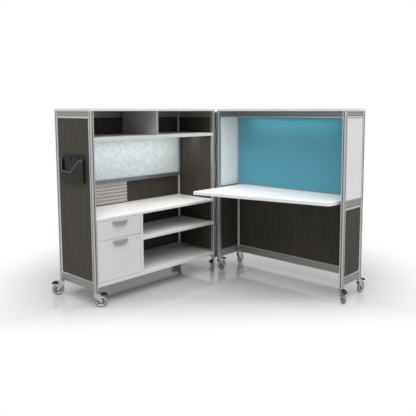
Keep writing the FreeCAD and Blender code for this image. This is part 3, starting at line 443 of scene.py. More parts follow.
def add_block(drawn, low, high, ease, segments=2):
    """Adds a block with rounded edges to a bmesh."""
    made = bmesh.ops.create_cube(drawn, size=1)["verts"]
    for vertex in made:
        for axis in range(3):
            vertex.co[axis] = low[axis] if vertex.co[axis] < 0 else high[axis]
    edges = {edge for vertex in made for edge in vertex.link_edges}
    bmesh.ops.bevel(drawn, geom=list(edges), offset=ease, segments=segments, affect="EDGES", profile=0.5)


def close_loops(drawn, loops):
    """Adds faces between each closed loop of vertices and the next one, round to the first."""
    for loop, after in zip(loops, loops[1:] + loops[:1]):
        for n in range(len(loop)):
            m = (n + 1) % len(loop)
            drawn.faces.new((loop[n], loop[m], after[m], after[n]))


print("piece helpers ready")

# %% [markdown]
# ## Wrapped tack boards
# A tack board is a fibre board with cloth pulled round its edges and stapled behind. The
# cloth turns each corner in a small round, and the face swells a little between the
# edges because the board is cut soft. So each board is drawn again inside the space of
# its CAD part: a block with 5 mm rounds, a grid over the face, and a crown of 1 mm. The
# pale board ends 12 mm short on the right, where the corner post shows beside it.

# %% Two wrapped boards
GRID_CELLS = 24
CROWN_POWER = 8  # the higher it is, the flatter the middle of the swelling


def wrapped_board(name, node, face_axis, body, finish, end_reveal=0):
    """A cloth-wrapped board that faces down one axis and replaces its CAD part."""
    low, high = (Vector(corner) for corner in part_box(node))
    high.x -= end_reveal
    reveal, ease, crown = 0.6 * MM, 5 * MM, 1.0 * MM
    others = [axis for axis in range(3) if axis != face_axis]
    drawn = bmesh.new()
    for axis in others:
        low[axis] += reveal
        high[axis] -= reveal
    low[face_axis] += crown
    add_block(drawn, low, high, ease, segments=4)
    for axis in others:
        for step in range(1, GRID_CELLS):
            place = low.lerp(high, step / GRID_CELLS)
            normal = Vector((0, 0, 0))
            normal[axis] = 1
            everything = drawn.verts[:] + drawn.edges[:] + drawn.faces[:]
            bmesh.ops.bisect_plane(drawn, geom=everything, plane_co=place, plane_no=normal)
    for vertex in drawn.verts:
        if vertex.co[face_axis] < low[face_axis] + ease / 2:
            swell = 1.0
            for axis in others:
                share = (vertex.co[axis] - low[axis]) / (high[axis] - low[axis])
                swell *= max(0.0, 1 - abs(2 * share - 1) ** CROWN_POWER)
            vertex.co[face_axis] -= crown * swell
    piece = new_piece(name, drawn, body, finish, smooth_angle=40)
    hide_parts(node)


wrapped_board(
    "storage_wrapped_board", "storage_tack_board", 1, "storage_unit", felt,
    end_reveal=12 * MM,
)
wrapped_board("desk_wrapped_board", "desk_tack_board", 0, "desk_unit", teal_cloth)
print("two wrapped boards")

# %% [markdown]
# ## Board trim
# A thin aluminium angle covers the edge of the teal board, and its lower leg hides the
# gap down to the worktop. It is one flat ring with mitred corners, which four inner and
# four outer corners give directly: a ring of faces in front, one behind, and two strips
# that close it.

# %% The desk board's trim
def mitred_ring(low, high, width):
    """A flat frame in the YZ plane, from low to high, with its inner edge set in by width."""
    drawn = bmesh.new()
    loops = []
    for x, inset in ((low[0], 0), (low[0], width), (high[0], width), (high[0], 0)):
        y_low, z_low, y_high, z_high = low[1] + inset, low[2] + inset, high[1] - inset, high[2] - inset
        corners = ((y_low, z_low), (y_high, z_low), (y_high, z_high), (y_low, z_high))
        loops.append([drawn.verts.new((x, y, z)) for y, z in corners])
    close_loops(drawn, loops)
    bmesh.ops.bevel(drawn, geom=drawn.edges[:], offset=0.4 * MM, segments=1, affect="EDGES")
    return drawn


TRIM_WIDTH, TRIM_PROUD, TRIM_LAP, TRIM_GAP = 7 * MM, 1.8 * MM, 1 * MM, 0.4 * MM
board_low, board_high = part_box("desk_tack_board")
worktop_low, worktop_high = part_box("desk_worktop")
ring = mitred_ring(
    (board_low.x - TRIM_PROUD, board_low.y, worktop_high.z + TRIM_GAP),
    (board_low.x + TRIM_LAP, board_high.y, board_high.z), TRIM_WIDTH,
)
# The trim's lighter aluminium is a painted highlight along the board's edge.
new_piece("desk_board_trim", ring, "desk_unit", trim_aluminium_highlight)
print("board trim", round(board_high.y - board_low.y, 3), "m long")

# %% [markdown]
# ## Growing pieces with Geometry Nodes
# Beads, screws, spokes and ribs repeat, or follow a path, so a small tree of nodes grows
# each kind from a few points. The tree ends by turning its instances into a real mesh and
# giving it a material. What it grows is then copied out as a plain mesh, so that nothing
# is left for the exporter to work out.

# %% Helpers for the trees
def new_tree(name, **inputs):
    """A Geometry Nodes tree with named inputs, and the outputs of its input node."""
    tree = bpy.data.node_groups.new(name, "GeometryNodeTree")
    tree.interface.new_socket("Start", in_out="INPUT", socket_type="NodeSocketGeometry")
    for label, kind in inputs.items():
        tree.interface.new_socket(label, in_out="INPUT", socket_type="NodeSocket" + kind)
    tree.interface.new_socket("Geometry", in_out="OUTPUT", socket_type="NodeSocketGeometry")
    return tree, add(tree, "NodeGroupInput").outputs


def end_tree(tree, geometry, finish):
    """Realizes the instances, sets the material and joins the output."""
    real = add(tree, "GeometryNodeRealizeInstances", links={"Geometry": geometry}).outputs["Geometry"]
    dressed = add(tree, "GeometryNodeSetMaterial", links={"Geometry": real, "Material": finish})
    add(tree, "NodeGroupOutput", links={"Geometry": dressed.outputs["Geometry"]})


def grown(tree, points, edges=(), **values):
    """The plain mesh that a tree grows from points and edges."""
    start = bpy.data.meshes.new(tree.name + "_start")
    start.from_pydata([tuple(point) for point in points], list(edges), [])
    carrier = linked(tree.name + "_carrier", start)
    modifier = carrier.modifiers.new(tree.name, "NODES")
    modifier.node_group = tree
    for socket in tree.interface.items_tree:
        if socket.in_out == "INPUT" and socket.name in values:
            modifier[socket.identifier] = values[socket.name]
    evaluated = carrier.evaluated_get(bpy.context.evaluated_depsgraph_get())
    mesh = bpy.data.meshes.new_from_object(evaluated)
    bpy.data.objects.remove(carrier)
    return mesh


print("tree helpers ready")

# %% [markdown]
# ## Panel beads
# Each panel is held in the frame by snap-in aluminium beads, which show as a thin bright
# line all round it, inside and out; their lighter trim tone paints that line in as a
# highlight. A bead is a closed path, set in from the frame by its radius, with a small round
# section swept along it.

# %% A tree that sweeps a bead along a path
def bead_tree():
    """Start is a path of edges; a round bead is swept along it."""
    tree, given = new_tree("round_bead", Radius="Float", Finish="Material")
    path = add(tree, "GeometryNodeMeshToCurve", links={"Mesh": given["Start"]}).outputs["Curve"]
    section = add(
        tree, "GeometryNodeCurvePrimitiveCircle", {"Resolution": 8}, {"Radius": given["Radius"]}
    ).outputs["Curve"]
    swept = add(
        tree, "GeometryNodeCurveToMesh", {"Fill Caps": True}, {"Curve": path, "Profile Curve": section}
    ).outputs["Mesh"]
    end_tree(tree, swept, given["Finish"])
    return tree


beads = bead_tree()
print(beads.name, "ready")

# %% [markdown]
# ## Where the beads run
# A bead runs round each panel on its outer and its inner face, between the posts. The
# storage unit has panels at the left, the right and the back, and the desk unit has one
# long back panel and an upper and a lower panel at each end. The corners could be typed
# in, but they are read from the boxes of the CAD parts, and so fit them exactly.

# %% Beads on both faces of each panel
BEAD_RADIUS, POST_WIDTH = 3.2 * MM, 28 * MM


def panel_loop(low, high, flat_axis, place):
    """The four corners of a panel's bead on the plane that the axis and place give."""
    first, second = (axis for axis in range(3) if axis != flat_axis)
    low = [value + BEAD_RADIUS for value in low]
    high = [value - BEAD_RADIUS for value in high]
    corners = []
    for at_first, at_second in ((low, low), (high, low), (high, high), (low, high)):
        corner = [place] * 3
        corner[first], corner[second] = at_first[first], at_second[second]
        corners.append(corner)
    return corners


def bead_both_faces(body, low, high, axis, outer, inward):
    """Notes the beads on the outer and the inner face of a panel that faces along an axis."""
    for place in (outer, outer + inward * panel_thickness):
        bead_loops[body].append(panel_loop(low, high, axis, place))


storage_low, storage_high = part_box("storage_posts")
panels_low, panels_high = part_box("storage_panels")
desk_low, desk_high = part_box("desk_posts")
back_low, back_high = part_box("desk_back_panel")
panel_thickness = back_high.x - back_low.x
bead_loops = {"storage_unit": [], "desk_unit": []}
inner_low = (storage_low.x + POST_WIDTH, storage_low.y + POST_WIDTH, panels_low.z)
inner_high = (storage_high.x - POST_WIDTH, storage_high.y - POST_WIDTH, panels_high.z)
bead_both_faces("storage_unit", inner_low, inner_high, 0, panels_low.x, 1)
bead_both_faces("storage_unit", inner_low, inner_high, 0, panels_high.x, -1)
bead_both_faces("storage_unit", inner_low, inner_high, 1, panels_high.y, -1)
bead_both_faces("desk_unit", back_low, back_high, 0, back_high.x, -1)
for node in ("desk_upper_end_panels", "desk_lower_end_panels"):
    ends_low, ends_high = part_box(node)
    bead_both_faces("desk_unit", ends_low, ends_high, 1, ends_low.y, 1)
    bead_both_faces("desk_unit", ends_low, ends_high, 1, ends_high.y, -1)
for body, loops in bead_loops.items():
    points = [corner for corners in loops for corner in corners]
    edges = [(4 * n + k, 4 * n + (k + 1) % 4) for n in range(len(loops)) for k in range(4)]
    mesh = grown(beads, points, edges, Radius=BEAD_RADIUS, Finish=trim_aluminium_highlight)
    new_piece(body + "_panel_beads", mesh, body, smooth_angle=50)
    print(body, len(loops), "beads", len(mesh.polygons), "faces")

# %% [markdown]
# ## Slot strips
# A dark grey strip is set a little way back in each T-slot of the posts. It is painted
# shade, the shadow of the slot, so that each slot reads as a thin darker line up the post.
# Every post has a slot in the middle of each side. The strips of the four posts are one
# piece for each unit.

# %% Strips in the posts' slots
STRIP_HALF, STRIP_BACK, STRIP_FRONT = 3.9 * MM, 4.6 * MM, 2.2 * MM
STRIP_END_GAP, STRIP_EASE = 1 * MM, 0.2 * MM


def slot_strip(drawn, centre, across, side, bottom, top):
    """A strip in the slot on one side of a post, looking along the axis across."""
    along = 1 - across
    low, high = [0, 0, bottom + STRIP_END_GAP], [0, 0, top - STRIP_END_GAP]
    low[along], high[along] = centre[along] - STRIP_HALF, centre[along] + STRIP_HALF
    depths = (POST_WIDTH / 2 - STRIP_BACK, POST_WIDTH / 2 - STRIP_FRONT)
    low[across], high[across] = sorted(centre[across] + side * depth for depth in depths)
    add_block(drawn, low, high, STRIP_EASE, segments=1)


for unit, low, high in (("storage", storage_low, storage_high), ("desk", desk_low, desk_high)):
    strips = bmesh.new()
    for x in (low.x + POST_WIDTH / 2, high.x - POST_WIDTH / 2):
        for y in (low.y + POST_WIDTH / 2, high.y - POST_WIDTH / 2):
            for across, side in ((0, 1), (0, -1), (1, 1), (1, -1)):
                slot_strip(strips, (x, y), across, side, low.z, high.z)
    piece = new_piece(unit + "_slot_strips", strips, unit + "_unit", slot_shade_plastic)
    print(piece.name, len(piece.data.polygons), "faces")

# %% [markdown]
# ## Groove strips and sills
# Every rail has two long grooves in each face, each holding a grey strip, paler than the
# slots', that is painted shade for the groove. The top and middle rails also have a sill
# outside, along their lower edge, where the panel below them snaps in; its lighter trim
# aluminium is a painted highlight. All are long bars on the faces of the rails, so one
# function finds the faces and another lays a bar on one.

# %% Bars on the faces of rails
RAIL_INSET, RAIL_THICKNESS = 2 * MM, 24 * MM
LEFT, RIGHT, FRONT, BACK = (0, -1), (0, 1), (1, -1), (1, 1)  # an axis, and a way along it


def rail_faces(low, high, sides, inner):
    """Outer faces, and inner ones if asked for, of the rails on some sides: axis, place and way."""
    faces = []
    for axis, way in sides:
        outer = high[axis] - RAIL_INSET if way > 0 else low[axis] + RAIL_INSET
        faces.append((axis, outer, way))
        if inner:
            faces.append((axis, outer - way * RAIL_THICKNESS, -way))
    return faces


def add_bar(drawn, low, high, face, bottom, top, depths):
    """A bar along a face, between two heights and two depths from the face's plane."""
    axis, place, way = face
    along = 1 - axis
    bar_low, bar_high = [0, 0, bottom], [0, 0, top]
    bar_low[along], bar_high[along] = low[along] + POST_WIDTH, high[along] - POST_WIDTH
    bar_low[axis], bar_high[axis] = sorted(place + way * depth for depth in depths)
    add_block(drawn, bar_low, bar_high, STRIP_EASE, segments=1)


print("bar helpers ready")

# %% [markdown]
# ## Which rails have them
# The storage unit is open in front, so its rails run round three sides. The desk unit is
# open on the left, and has middle rails too, at its two ends. A table of these runs lets
# one loop dress both units.

# %% Strips and sills on the rails
BASE_RAIL_HEIGHT, MID_RAIL_HEIGHT, SILL_HEIGHT = 58 * MM, 67 * MM, 9 * MM
GROOVE_SHARES = (0.3, 0.7)  # the grooves' heights on a rail
GROOVE_HALF, GROOVE_DEPTHS, SILL_DEPTHS = 3.3 * MM, (-3.6 * MM, -1.4 * MM), (-0.5 * MM, 0.9 * MM)
top_level = (panels_high.z, storage_high.z)
base_level = (panels_low.z - BASE_RAIL_HEIGHT, panels_low.z)
upper_panel_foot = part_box("desk_upper_end_panels")[0].z
mid_level = (upper_panel_foot - MID_RAIL_HEIGHT, upper_panel_foot)
RAIL_RUNS = {
    "storage_unit": (
        storage_low, storage_high,
        [((LEFT, RIGHT, BACK), base_level), ((LEFT, RIGHT, BACK), top_level)],
    ),
    "desk_unit": (
        desk_low, desk_high,
        [((FRONT, BACK, RIGHT), base_level), ((FRONT, BACK, RIGHT), top_level), ((FRONT, BACK), mid_level)],
    ),
}
for body, (low, high, runs) in RAIL_RUNS.items():
    strips, sills = bmesh.new(), bmesh.new()
    for sides, (bottom, top) in runs:
        for face in rail_faces(low, high, sides, inner=True):
            for share in GROOVE_SHARES:
                middle = bottom + share * (top - bottom)
                foot, head = middle - GROOVE_HALF, middle + GROOVE_HALF
                add_bar(strips, low, high, face, foot, head, GROOVE_DEPTHS)
        if bottom != base_level[0]:
            for face in rail_faces(low, high, sides, inner=False):
                add_bar(sills, low, high, face, bottom, bottom + SILL_HEIGHT, SILL_DEPTHS)
    new_piece(body + "_groove_strips", strips, body, groove_shade_plastic)
    new_piece(body + "_rail_sills", sills, body, trim_aluminium_highlight)
    print(body, "strips and sills on", len(runs), "levels")

# %% [markdown]
# ## The pocket's lip
# The moulded pocket has a flat rolled lip along the edge of its front sheet, which catches
# the light along the zigzag, and its paler plastic is a painted highlight there. The tree that
# swept the beads sweeps a round bar along the outline of that edge, and the bar is then
# flattened towards the sheet.

# %% A lip on the pocket's front
LIP_FLATNESS, LIP_RADIUS, LIP_PROUD = 0.3, 9 * MM, 0.5 * MM
# The sheet's edge from the pocket's front to its back, in shares of its length and height.
POCKET_EDGE = ((0, 0.8), (0.15, 0.8), (0.57, 0.34), (0.96, 0.38), (0.96, 0.8), (1, 0.8))
pocket_low, pocket_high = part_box("side_pocket")
lip_x = pocket_low.x - LIP_PROUD
lip_points = [
    (
        lip_x,
        pocket_low.y + across * (pocket_high.y - pocket_low.y),
        pocket_low.z + up * (pocket_high.z - pocket_low.z) - LIP_RADIUS / 2,
    )
    for across, up in POCKET_EDGE
]
lip_edges = [(n, n + 1) for n in range(len(lip_points) - 1)]
lip_mesh = grown(beads, lip_points, lip_edges, Radius=LIP_RADIUS, Finish=lip_painted_highlight)
for vertex in lip_mesh.vertices:
    vertex.co.x = lip_x + LIP_FLATNESS * (vertex.co.x - lip_x)
new_piece("side_pocket_lip", lip_mesh, "storage_unit", smooth_angle=50)
print("pocket lip", len(lip_mesh.polygons), "faces")

# %% [markdown]
# ## Screws
# The hinge leaves and the worktop brackets are held by flat-headed screws. A head is a low
# cone whose top is drawn in and pressed down to make the driver's socket. The tree puts
# one on every point and turns it to face the way that its input says.

# %% A tree that sets screw heads on points
def screw_tree():
    """Start holds one vertex for each screw; every head faces the same way."""
    tree, given = new_tree(
        "screw_heads", Radius="Float", Height="Float", Facing="Vector", Finish="Material"
    )
    shoulder = add(tree, "ShaderNodeMath", {1: 0.82}, {0: given["Radius"]}, operation="MULTIPLY").outputs[0]
    sink = add(tree, "ShaderNodeMath", {1: -0.7}, {0: given["Height"]}, operation="MULTIPLY").outputs[0]
    cone = add(
        tree, "GeometryNodeMeshCone", {"Vertices": 18},
        {"Radius Top": shoulder, "Radius Bottom": given["Radius"], "Depth": given["Height"]},
    )
    inset = add(
        tree, "GeometryNodeExtrudeMesh", {"Offset Scale": 0.0},
        {"Mesh": cone.outputs["Mesh"], "Selection": cone.outputs["Top"]},
    )
    drawn_in = add(
        tree, "GeometryNodeScaleElements", {"Scale": 0.5},
        {"Geometry": inset.outputs["Mesh"], "Selection": inset.outputs["Top"]},
    )
    socket = add(
        tree, "GeometryNodeExtrudeMesh", {},
        {"Mesh": drawn_in.outputs["Geometry"], "Selection": inset.outputs["Top"], "Offset Scale": sink},
    )
    turn = add(
        tree, "FunctionNodeAlignRotationToVector", {}, {"Vector": given["Facing"]}, axis="Z"
    ).outputs["Rotation"]
    heads = add(
        tree, "GeometryNodeInstanceOnPoints", {},
        {"Points": given["Start"], "Instance": socket.outputs["Mesh"], "Rotation": turn},
    )
    end_tree(tree, heads.outputs["Instances"], given["Finish"])
    return tree


screws = screw_tree()
print(screws.name, "ready")

# %% [markdown]
# ## Rows of screws
# Each hinge leaf is screwed to its post in ten places, and each bracket to the worktop in
# three. A row says which body it rides on, the way its heads face and where they are. It
# is one piece, because the screws of one part always move together.

# %% Screws in the leaves and brackets
LEAF_SCREWS, END_MARGIN, LEAF_MIDDLE, LEAF_THICKNESS = 10, 40 * MM, 12 * MM, 2 * MM
BRACKET_THICKNESS, BRACKET_MIDDLE, BRACKET_SHARES = 4 * MM, 75 * MM, (0.15, 0.5, 0.85)
HEAD_RADIUS, HEAD_HEIGHT = 3.6 * MM, 0.9 * MM
leaf_low, leaf_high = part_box("fold_hinge_storage_leaf")
bracket_low, bracket_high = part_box("worktop_brackets")
pitch = (leaf_high.z - leaf_low.z - 2 * END_MARGIN) / (LEAF_SCREWS - 1)
heights = [leaf_low.z + END_MARGIN + n * pitch for n in range(LEAF_SCREWS)]
SCREW_ROWS = {
    "storage_leaf_screws": (
        "storage_unit", (1, 0, 0), "black_steel",
        [(storage_high.x + LEAF_THICKNESS, storage_low.y + LEAF_MIDDLE, z) for z in heights],
    ),
    "desk_leaf_screws": (
        "desk_unit", (0, 1, 0), "black_steel",
        [(desk_low.x + LEAF_MIDDLE, desk_high.y + LEAF_THICKNESS, z) for z in heights],
    ),
    "bracket_screws": (
        "desk_unit", (0, 0, -1), "grey_steel",
        [
            (bracket_low.x + share * (bracket_high.x - bracket_low.x), y, worktop_low.z - BRACKET_THICKNESS)
            for share in BRACKET_SHARES
            for y in (bracket_low.y + BRACKET_MIDDLE, bracket_high.y - BRACKET_MIDDLE)
        ],
    ),
}
for name, (body, facing, slot, points) in SCREW_ROWS.items():
    mesh = grown(screws, points, Radius=HEAD_RADIUS, Height=HEAD_HEIGHT, Facing=facing, Finish=chrome)
    new_piece(name, mesh, body, smooth_angle=30)
    print(name, len(points), "screws")

# %% [markdown]
# ## Caster wheels
# A furniture caster's wheel is a moulded centre with a soft tyre cast round it. Seen close
# up it has a rounded tread, a bright rim, a thin web with spokes and a hub on the axle.
# The tyre, the rim and the web are turned shapes, so each is a section carried round a
# circle. A section is drawn for one side of the wheel and mirrored to the other.

# %% Turned shapes
def turned(section, steps=48):
    """A bmesh of a closed section of (radius, across), in mm, carried round the Y axis."""
    drawn = bmesh.new()
    rings = []
    for step in range(steps):
        angle = 2 * math.pi * step / steps
        rings.append([
            drawn.verts.new((radius * math.cos(angle) * MM, across * MM, radius * math.sin(angle) * MM))
            for radius, across in section
        ])
    close_loops(drawn, rings)
    return drawn


def both_sides(half):
    """A section that is the same on either side of the wheel's middle."""
    return list(half) + [(radius, -across) for radius, across in reversed(half)]


TYRE_SECTION = both_sides((
    (33, 8.2), (34, 9.2), (36.5, 9.9), (39, 10), (41.5, 9.5), (43.6, 8.2), (45, 6.2), (45.8, 3.6),
    (46, 1.2),
))
RIM_SECTION = both_sides(((27.2, 2.6), (27.6, 8.6), (28.6, 9.6), (32, 9.6), (33, 8.8)))
WEB_SECTION = both_sides((
    (4.1, 9.6), (10.6, 9.6), (11.6, 9.0), (12, 8.0), (12.4, 3.2), (13.4, 2.2), (27.4, 2.2),
))
print(len(TYRE_SECTION), len(RIM_SECTION), len(WEB_SECTION), "points in the sections")

# %% [markdown]
# ## Spokes
# The web is stiffened by ten flat spokes. They repeat, so a tree of nodes sets one on each
# point of a ring, turned outwards, and the ring is then tipped to stand like the wheel.

# %% A tree that sets spokes in a ring
def spoke_tree():
    """A ring of flat spokes round Z; Start isn't used."""
    tree, given = new_tree(
        "wheel_spokes", Count="Int", Middle="Float", Length="Float", Thickness="Float", Width="Float",
        Finish="Material",
    )
    ring = add(
        tree, "GeometryNodeMeshCircle", {}, {"Vertices": given["Count"], "Radius": given["Middle"]}
    ).outputs["Mesh"]
    size = add(
        tree, "ShaderNodeCombineXYZ", {},
        {"X": given["Length"], "Y": given["Thickness"], "Z": given["Width"]},
    ).outputs["Vector"]
    spoke = add(tree, "GeometryNodeMeshCube", {}, {"Size": size}).outputs["Mesh"]
    position = add(tree, "GeometryNodeInputPosition").outputs["Position"]
    outward = add(tree, "FunctionNodeAlignRotationToVector", {}, {"Vector": position}, axis="X")
    set_round = add(
        tree, "GeometryNodeInstanceOnPoints", {},
        {"Points": ring, "Instance": spoke, "Rotation": outward.outputs["Rotation"]},
    )
    end_tree(tree, set_round.outputs["Instances"], given["Finish"])
    return tree


spokes = grown(
    spoke_tree(), [(0, 0, 0)], Count=10, Middle=20 * MM, Length=16 * MM, Thickness=2.4 * MM, Width=13 * MM,
    Finish=wheel_plastic,
)
spokes.transform(Matrix.Rotation(math.pi / 2, 4, "X"))
print("spokes", len(spokes.polygons), "faces")

# %% [markdown]
# ## Wheels on their hubs
# Every wheel is drawn about its own axle, along Y, and its mesh is then moved to the joint
# that it rolls on. The joint says where the axle is and which way it points.

# %% Eight wheels
def caster_frame(joint_name):
    """The matrix that takes a caster drawn along +X, with its axle along Y, to its joint."""
    joint = joints[joint_name]
    across = Vector(joint["axis"])
    turn = math.atan2(-across.x, across.y)
    return Matrix.Translation(Vector(joint["pos_m"])) @ Matrix.Rotation(turn, 4, "Z")


CASTERS = [name.removeprefix("roll_") for name in joints if name.startswith("roll_")]
for key in CASTERS:
    place = caster_frame("roll_" + key)
    tyre = turned(TYRE_SECTION)
    tyre.transform(place)
    tyre_piece = new_piece(f"tyre_{key}", tyre, f"wheel_{key}", tyre_rubber, smooth_angle=50)
    rim = turned(RIM_SECTION)
    rim.transform(place)
    new_piece(f"rim_{key}", rim, f"wheel_{key}", chrome, smooth_angle=35)
    web = turned(WEB_SECTION)
    web.from_mesh(spokes)
    web.transform(place)
    new_piece(f"web_{key}", web, f"wheel_{key}", wheel_plastic, smooth_angle=35)
    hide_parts(f"caster_wheel_{key}")
print(len(CASTERS), "wheels")

# %% [markdown]
# ## Pedal ribs
# A brake pedal is moulded with a few raised ribs across its top, where a shoe presses it.
# They sit on the flat of the pedal, which lies 16 to 34 mm beyond the pedal's pivot. The
# tree sets one row, and each pedal gets a copy of it.

# %% A tree that sets ribs in a row
def rib_tree():
    """A row of low ribs along X from the origin; Start isn't used."""
    tree, given = new_tree("pedal_ribs", Count="Int", Step="Vector", Size="Vector", Finish="Material")
    row = add(
        tree, "GeometryNodeMeshLine", {}, {"Count": given["Count"], "Offset": given["Step"]}
    ).outputs["Mesh"]
    rib = add(tree, "GeometryNodeMeshCube", {}, {"Size": given["Size"]}).outputs["Mesh"]
    ribs = add(tree, "GeometryNodeInstanceOnPoints", {}, {"Points": row, "Instance": rib})
    end_tree(tree, ribs.outputs["Instances"], given["Finish"])
    return tree


RIB_PITCH, RIB_SIZE, FIRST_RIB = 4.6 * MM, (1.8 * MM, 24 * MM, 1.4 * MM), (18 * MM, 0, 9 * MM)
ribs = grown(rib_tree(), [(0, 0, 0)], Count=4, Step=(RIB_PITCH, 0, 0), Size=RIB_SIZE, Finish=black_plastic)
for key in CASTERS:
    rib_mesh = ribs.copy()
    rib_mesh.transform(caster_frame("press_" + key) @ Matrix.Translation(FIRST_RIB))
    new_piece(f"pedal_ribs_{key}", rib_mesh, f"brake_{key}")
print(len(CASTERS), "sets of ribs", len(ribs.polygons), "faces each")

# %% [markdown]
# ## Hanger bars for files
# A file drawer has two flat bars from front to back that the hooks of hanging files ride
# on. They stand just inside the sides of the drawer's box, and end in its front and back.

# %% Bars in the file drawer
BAR_INSET, BAR_HALF, BAR_END_GAP, BAR_EASE = 30 * MM, 1.5 * MM, 1 * MM, 0.8 * MM
BAR_TOP, BAR_FOOT = 2 * MM, 16 * MM  # below the top of the drawer's box
box_low, box_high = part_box("file_drawer_box")
bars = bmesh.new()
for x in (box_low.x + BAR_INSET, box_high.x - BAR_INSET):
    add_block(
        bars, (x - BAR_HALF, box_low.y + BAR_END_GAP, box_high.z - BAR_FOOT),
        (x + BAR_HALF, box_high.y - BAR_END_GAP, box_high.z - BAR_TOP), BAR_EASE,
    )
new_piece("file_hanger_bars", bars, "file_drawer", coated_steel)
print("hanger bars between", round(box_low.y, 3), "and", round(box_high.y, 3))

# %% [markdown]
# ## Floor and backdrop
# The object stands on a plain pale studio floor with a little polish, which gives the
# faint reflections under the wheels. Away from the object, and sooner in front of it, a glow
# that only the camera sees brightens the floor to the white of the backdrop, so that no
# horizon shows. Nearer the units the floor keeps its darker grey, as painted shade round
# their shadows. What the camera sees behind is plain white.

# %% Floor and world
FLOOR_REACH = 60
# The floor fades to white between two distances, all round and towards the camera.
FADE_CENTRE, AWAY_FROM, AWAY_TO = (0.4, 0.4, 0), 1.1, 2.1
FORWARD, FORWARD_FROM, FORWARD_TO = (-1, -1, 0), 0.0, 1.1


def plain_floor():
    """A large pale floor that carries shadows and a faint reflection."""
    mesh = bpy.data.meshes.new("studio_floor")
    sides = (-FLOOR_REACH, FLOOR_REACH)
    corners = [(x, y, 0) for x in sides for y in sides]
    mesh.from_pydata(corners, [], [(0, 2, 3, 1)])
    floor = linked("studio_floor", mesh)
    material, tree, shader = new_finish("polished_floor", Roughness=0.1, Specular_IOR_Level=0.2)
    # The grey base is painted shade near the units, where the glow does not reach.
    shader.inputs["Base Color"].default_value = linear("#b0b0b0")
    glow = add(tree, "ShaderNodeEmission", {"Strength": 1.0})
    seen = add(tree, "ShaderNodeLightPath").outputs["Is Camera Ray"]
    place = add(tree, "ShaderNodeTexCoord").outputs["Object"]
    fades = []
    for operation, vector, near, far in (
        ("DISTANCE", FADE_CENTRE, AWAY_FROM, AWAY_TO), ("DOT_PRODUCT", FORWARD, FORWARD_FROM, FORWARD_TO),
    ):
        distance = add(tree, "ShaderNodeVectorMath", {1: vector}, {0: place}, operation=operation)
        fades.append(add(
            tree, "ShaderNodeMapRange", {"From Min": near, "From Max": far},
            {"Value": distance.outputs["Value"]}, interpolation_type="SMOOTHSTEP",
        ).outputs["Result"])
    fade = add(tree, "ShaderNodeMath", links={0: fades[0], 1: fades[1]}, operation="MAXIMUM").outputs[0]
    share = add(tree, "ShaderNodeMath", links={0: fade, 1: seen}, operation="MULTIPLY").outputs[0]
    mixed = add(
        tree, "ShaderNodeMixShader",
        links={0: share, 1: shader.outputs["BSDF"], 2: glow.outputs["Emission"]},
    )
    tree.links.new(mixed.outputs["Shader"], tree.nodes["Material Output"].inputs["Surface"])
    mesh.materials.append(material)


def studio_world(fill):
    """White to the eye and in reflections, and a softer fill for everything else."""
    world = bpy.data.worlds.new("studio_world")
    bpy.context.scene.world = world
    world.use_nodes = True
    tree = world.node_tree
    tree.nodes.clear()
    path = add(tree, "ShaderNodeLightPath")
    eye = path.outputs["Is Camera Ray"]
    for ray in ("Is Glossy Ray", "Is Transmission Ray"):
        seen = path.outputs[ray]
        eye = add(tree, "ShaderNodeMath", links={0: eye, 1: seen}, operation="MAXIMUM").outputs[0]
    strength = add(tree, "ShaderNodeMapRange", {"To Min": fill, "To Max": 1.0}, {"Value": eye})
    background = add(
        tree, "ShaderNodeBackground", {"Color": (1, 1, 1, 1)}, {"Strength": strength.outputs["Result"]}
    )
    add(tree, "ShaderNodeOutputWorld", links={"Surface": background.outputs["Background"]})


plain_floor()
studio_world(fill=0.25)
bpy.context.scene.view_settings.view_transform = "Standard"
print("floor and world made")

# %% [markdown]
# ## Light
# One broad sun, as wide as a ceiling of soft boxes, comes from above the open corner, and
# the world fills in. The credenza and the worktop are the brightest surfaces of such an
# office, because task lights shine down on them, so a soft strip hangs over each.

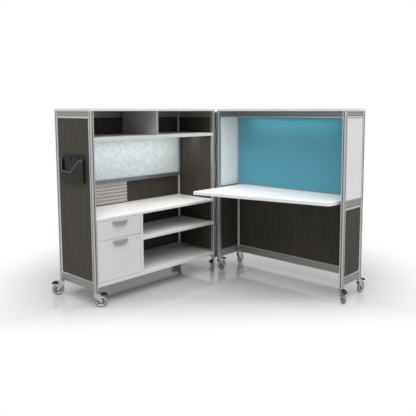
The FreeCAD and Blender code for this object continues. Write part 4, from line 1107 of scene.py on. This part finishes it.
# %% Lamps
def wide_sun(name, towards_light, strength, width):
    """A sun as wide as a bank of soft boxes; towards_light points from the object to it."""
    lamp = bpy.data.lights.new(name, "SUN")
    lamp.energy = strength
    lamp.angle = math.radians(width)
    linked(name, lamp).rotation_euler = Vector(towards_light).to_track_quat("Z", "Y").to_euler()


def strip_light(name, place, length, width, turn, power):
    """A soft strip that shines down, as a task light tucked under a shelf does."""
    lamp = bpy.data.lights.new(name, "AREA")
    lamp.energy = power
    lamp.shape = "RECTANGLE"
    lamp.size = length
    lamp.size_y = width
    lamp.color = (1.0, 0.96, 0.95)
    lamp_object = linked(name, lamp)
    lamp_object.location = place
    lamp_object.rotation_euler = (0, 0, turn)


shelf_low, shelf_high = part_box("overhead_shelf")
cover_low, cover_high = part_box("desk_top_cover")
SHELF_END_GAPS, COVER_END_GAPS = 60 * MM, 400 * MM  # both ends of a strip together
under_shelf = (shelf_low + shelf_high) / 2 + Vector((0, 10 * MM, -16 * MM))
under_cover = (cover_low + cover_high) / 2 + Vector((0, 0, -72 * MM))
wide_sun("overhead_soft_light", towards_light=(-0.2, -0.25, 0.95), strength=4.0, width=75)
strip_light(
    "storage_strip_light", under_shelf, length=shelf_high.x - shelf_low.x - SHELF_END_GAPS, width=30 * MM,
    turn=0, power=2.1,
)
strip_light(
    "desk_strip_light", under_cover, length=cover_high.y - cover_low.y - COVER_END_GAPS, width=160 * MM,
    turn=math.pi / 2, power=0.6,
)
print("lamps placed")

# %% [markdown]
# ## The camera
# The camera stands a few metres off the open corner, a little above the frame's top, and
# looks slightly down. Its place, turn and lens were worked out from the photograph's edges
# with the CAD sizes held, and the small shift only frames the picture.

# %% Camera
CAMERA_PLACE = (-2.996, -2.8611, 1.4326)
LOOKS_DOWN, HEADING = 0.10995, -0.84819
camera_data = bpy.data.cameras.new("studio_camera")
camera_data.sensor_width = 36
camera_data.lens = 46.8
camera_data.shift_x, camera_data.shift_y = -0.0577, -0.0899
camera_data.clip_end = 200
camera = linked("studio_camera", camera_data)
camera.location = CAMERA_PLACE
camera.rotation_euler = (math.pi / 2 - LOOKS_DOWN, 0, HEADING)
bpy.context.scene.camera = camera
print("camera at", tuple(camera.location))
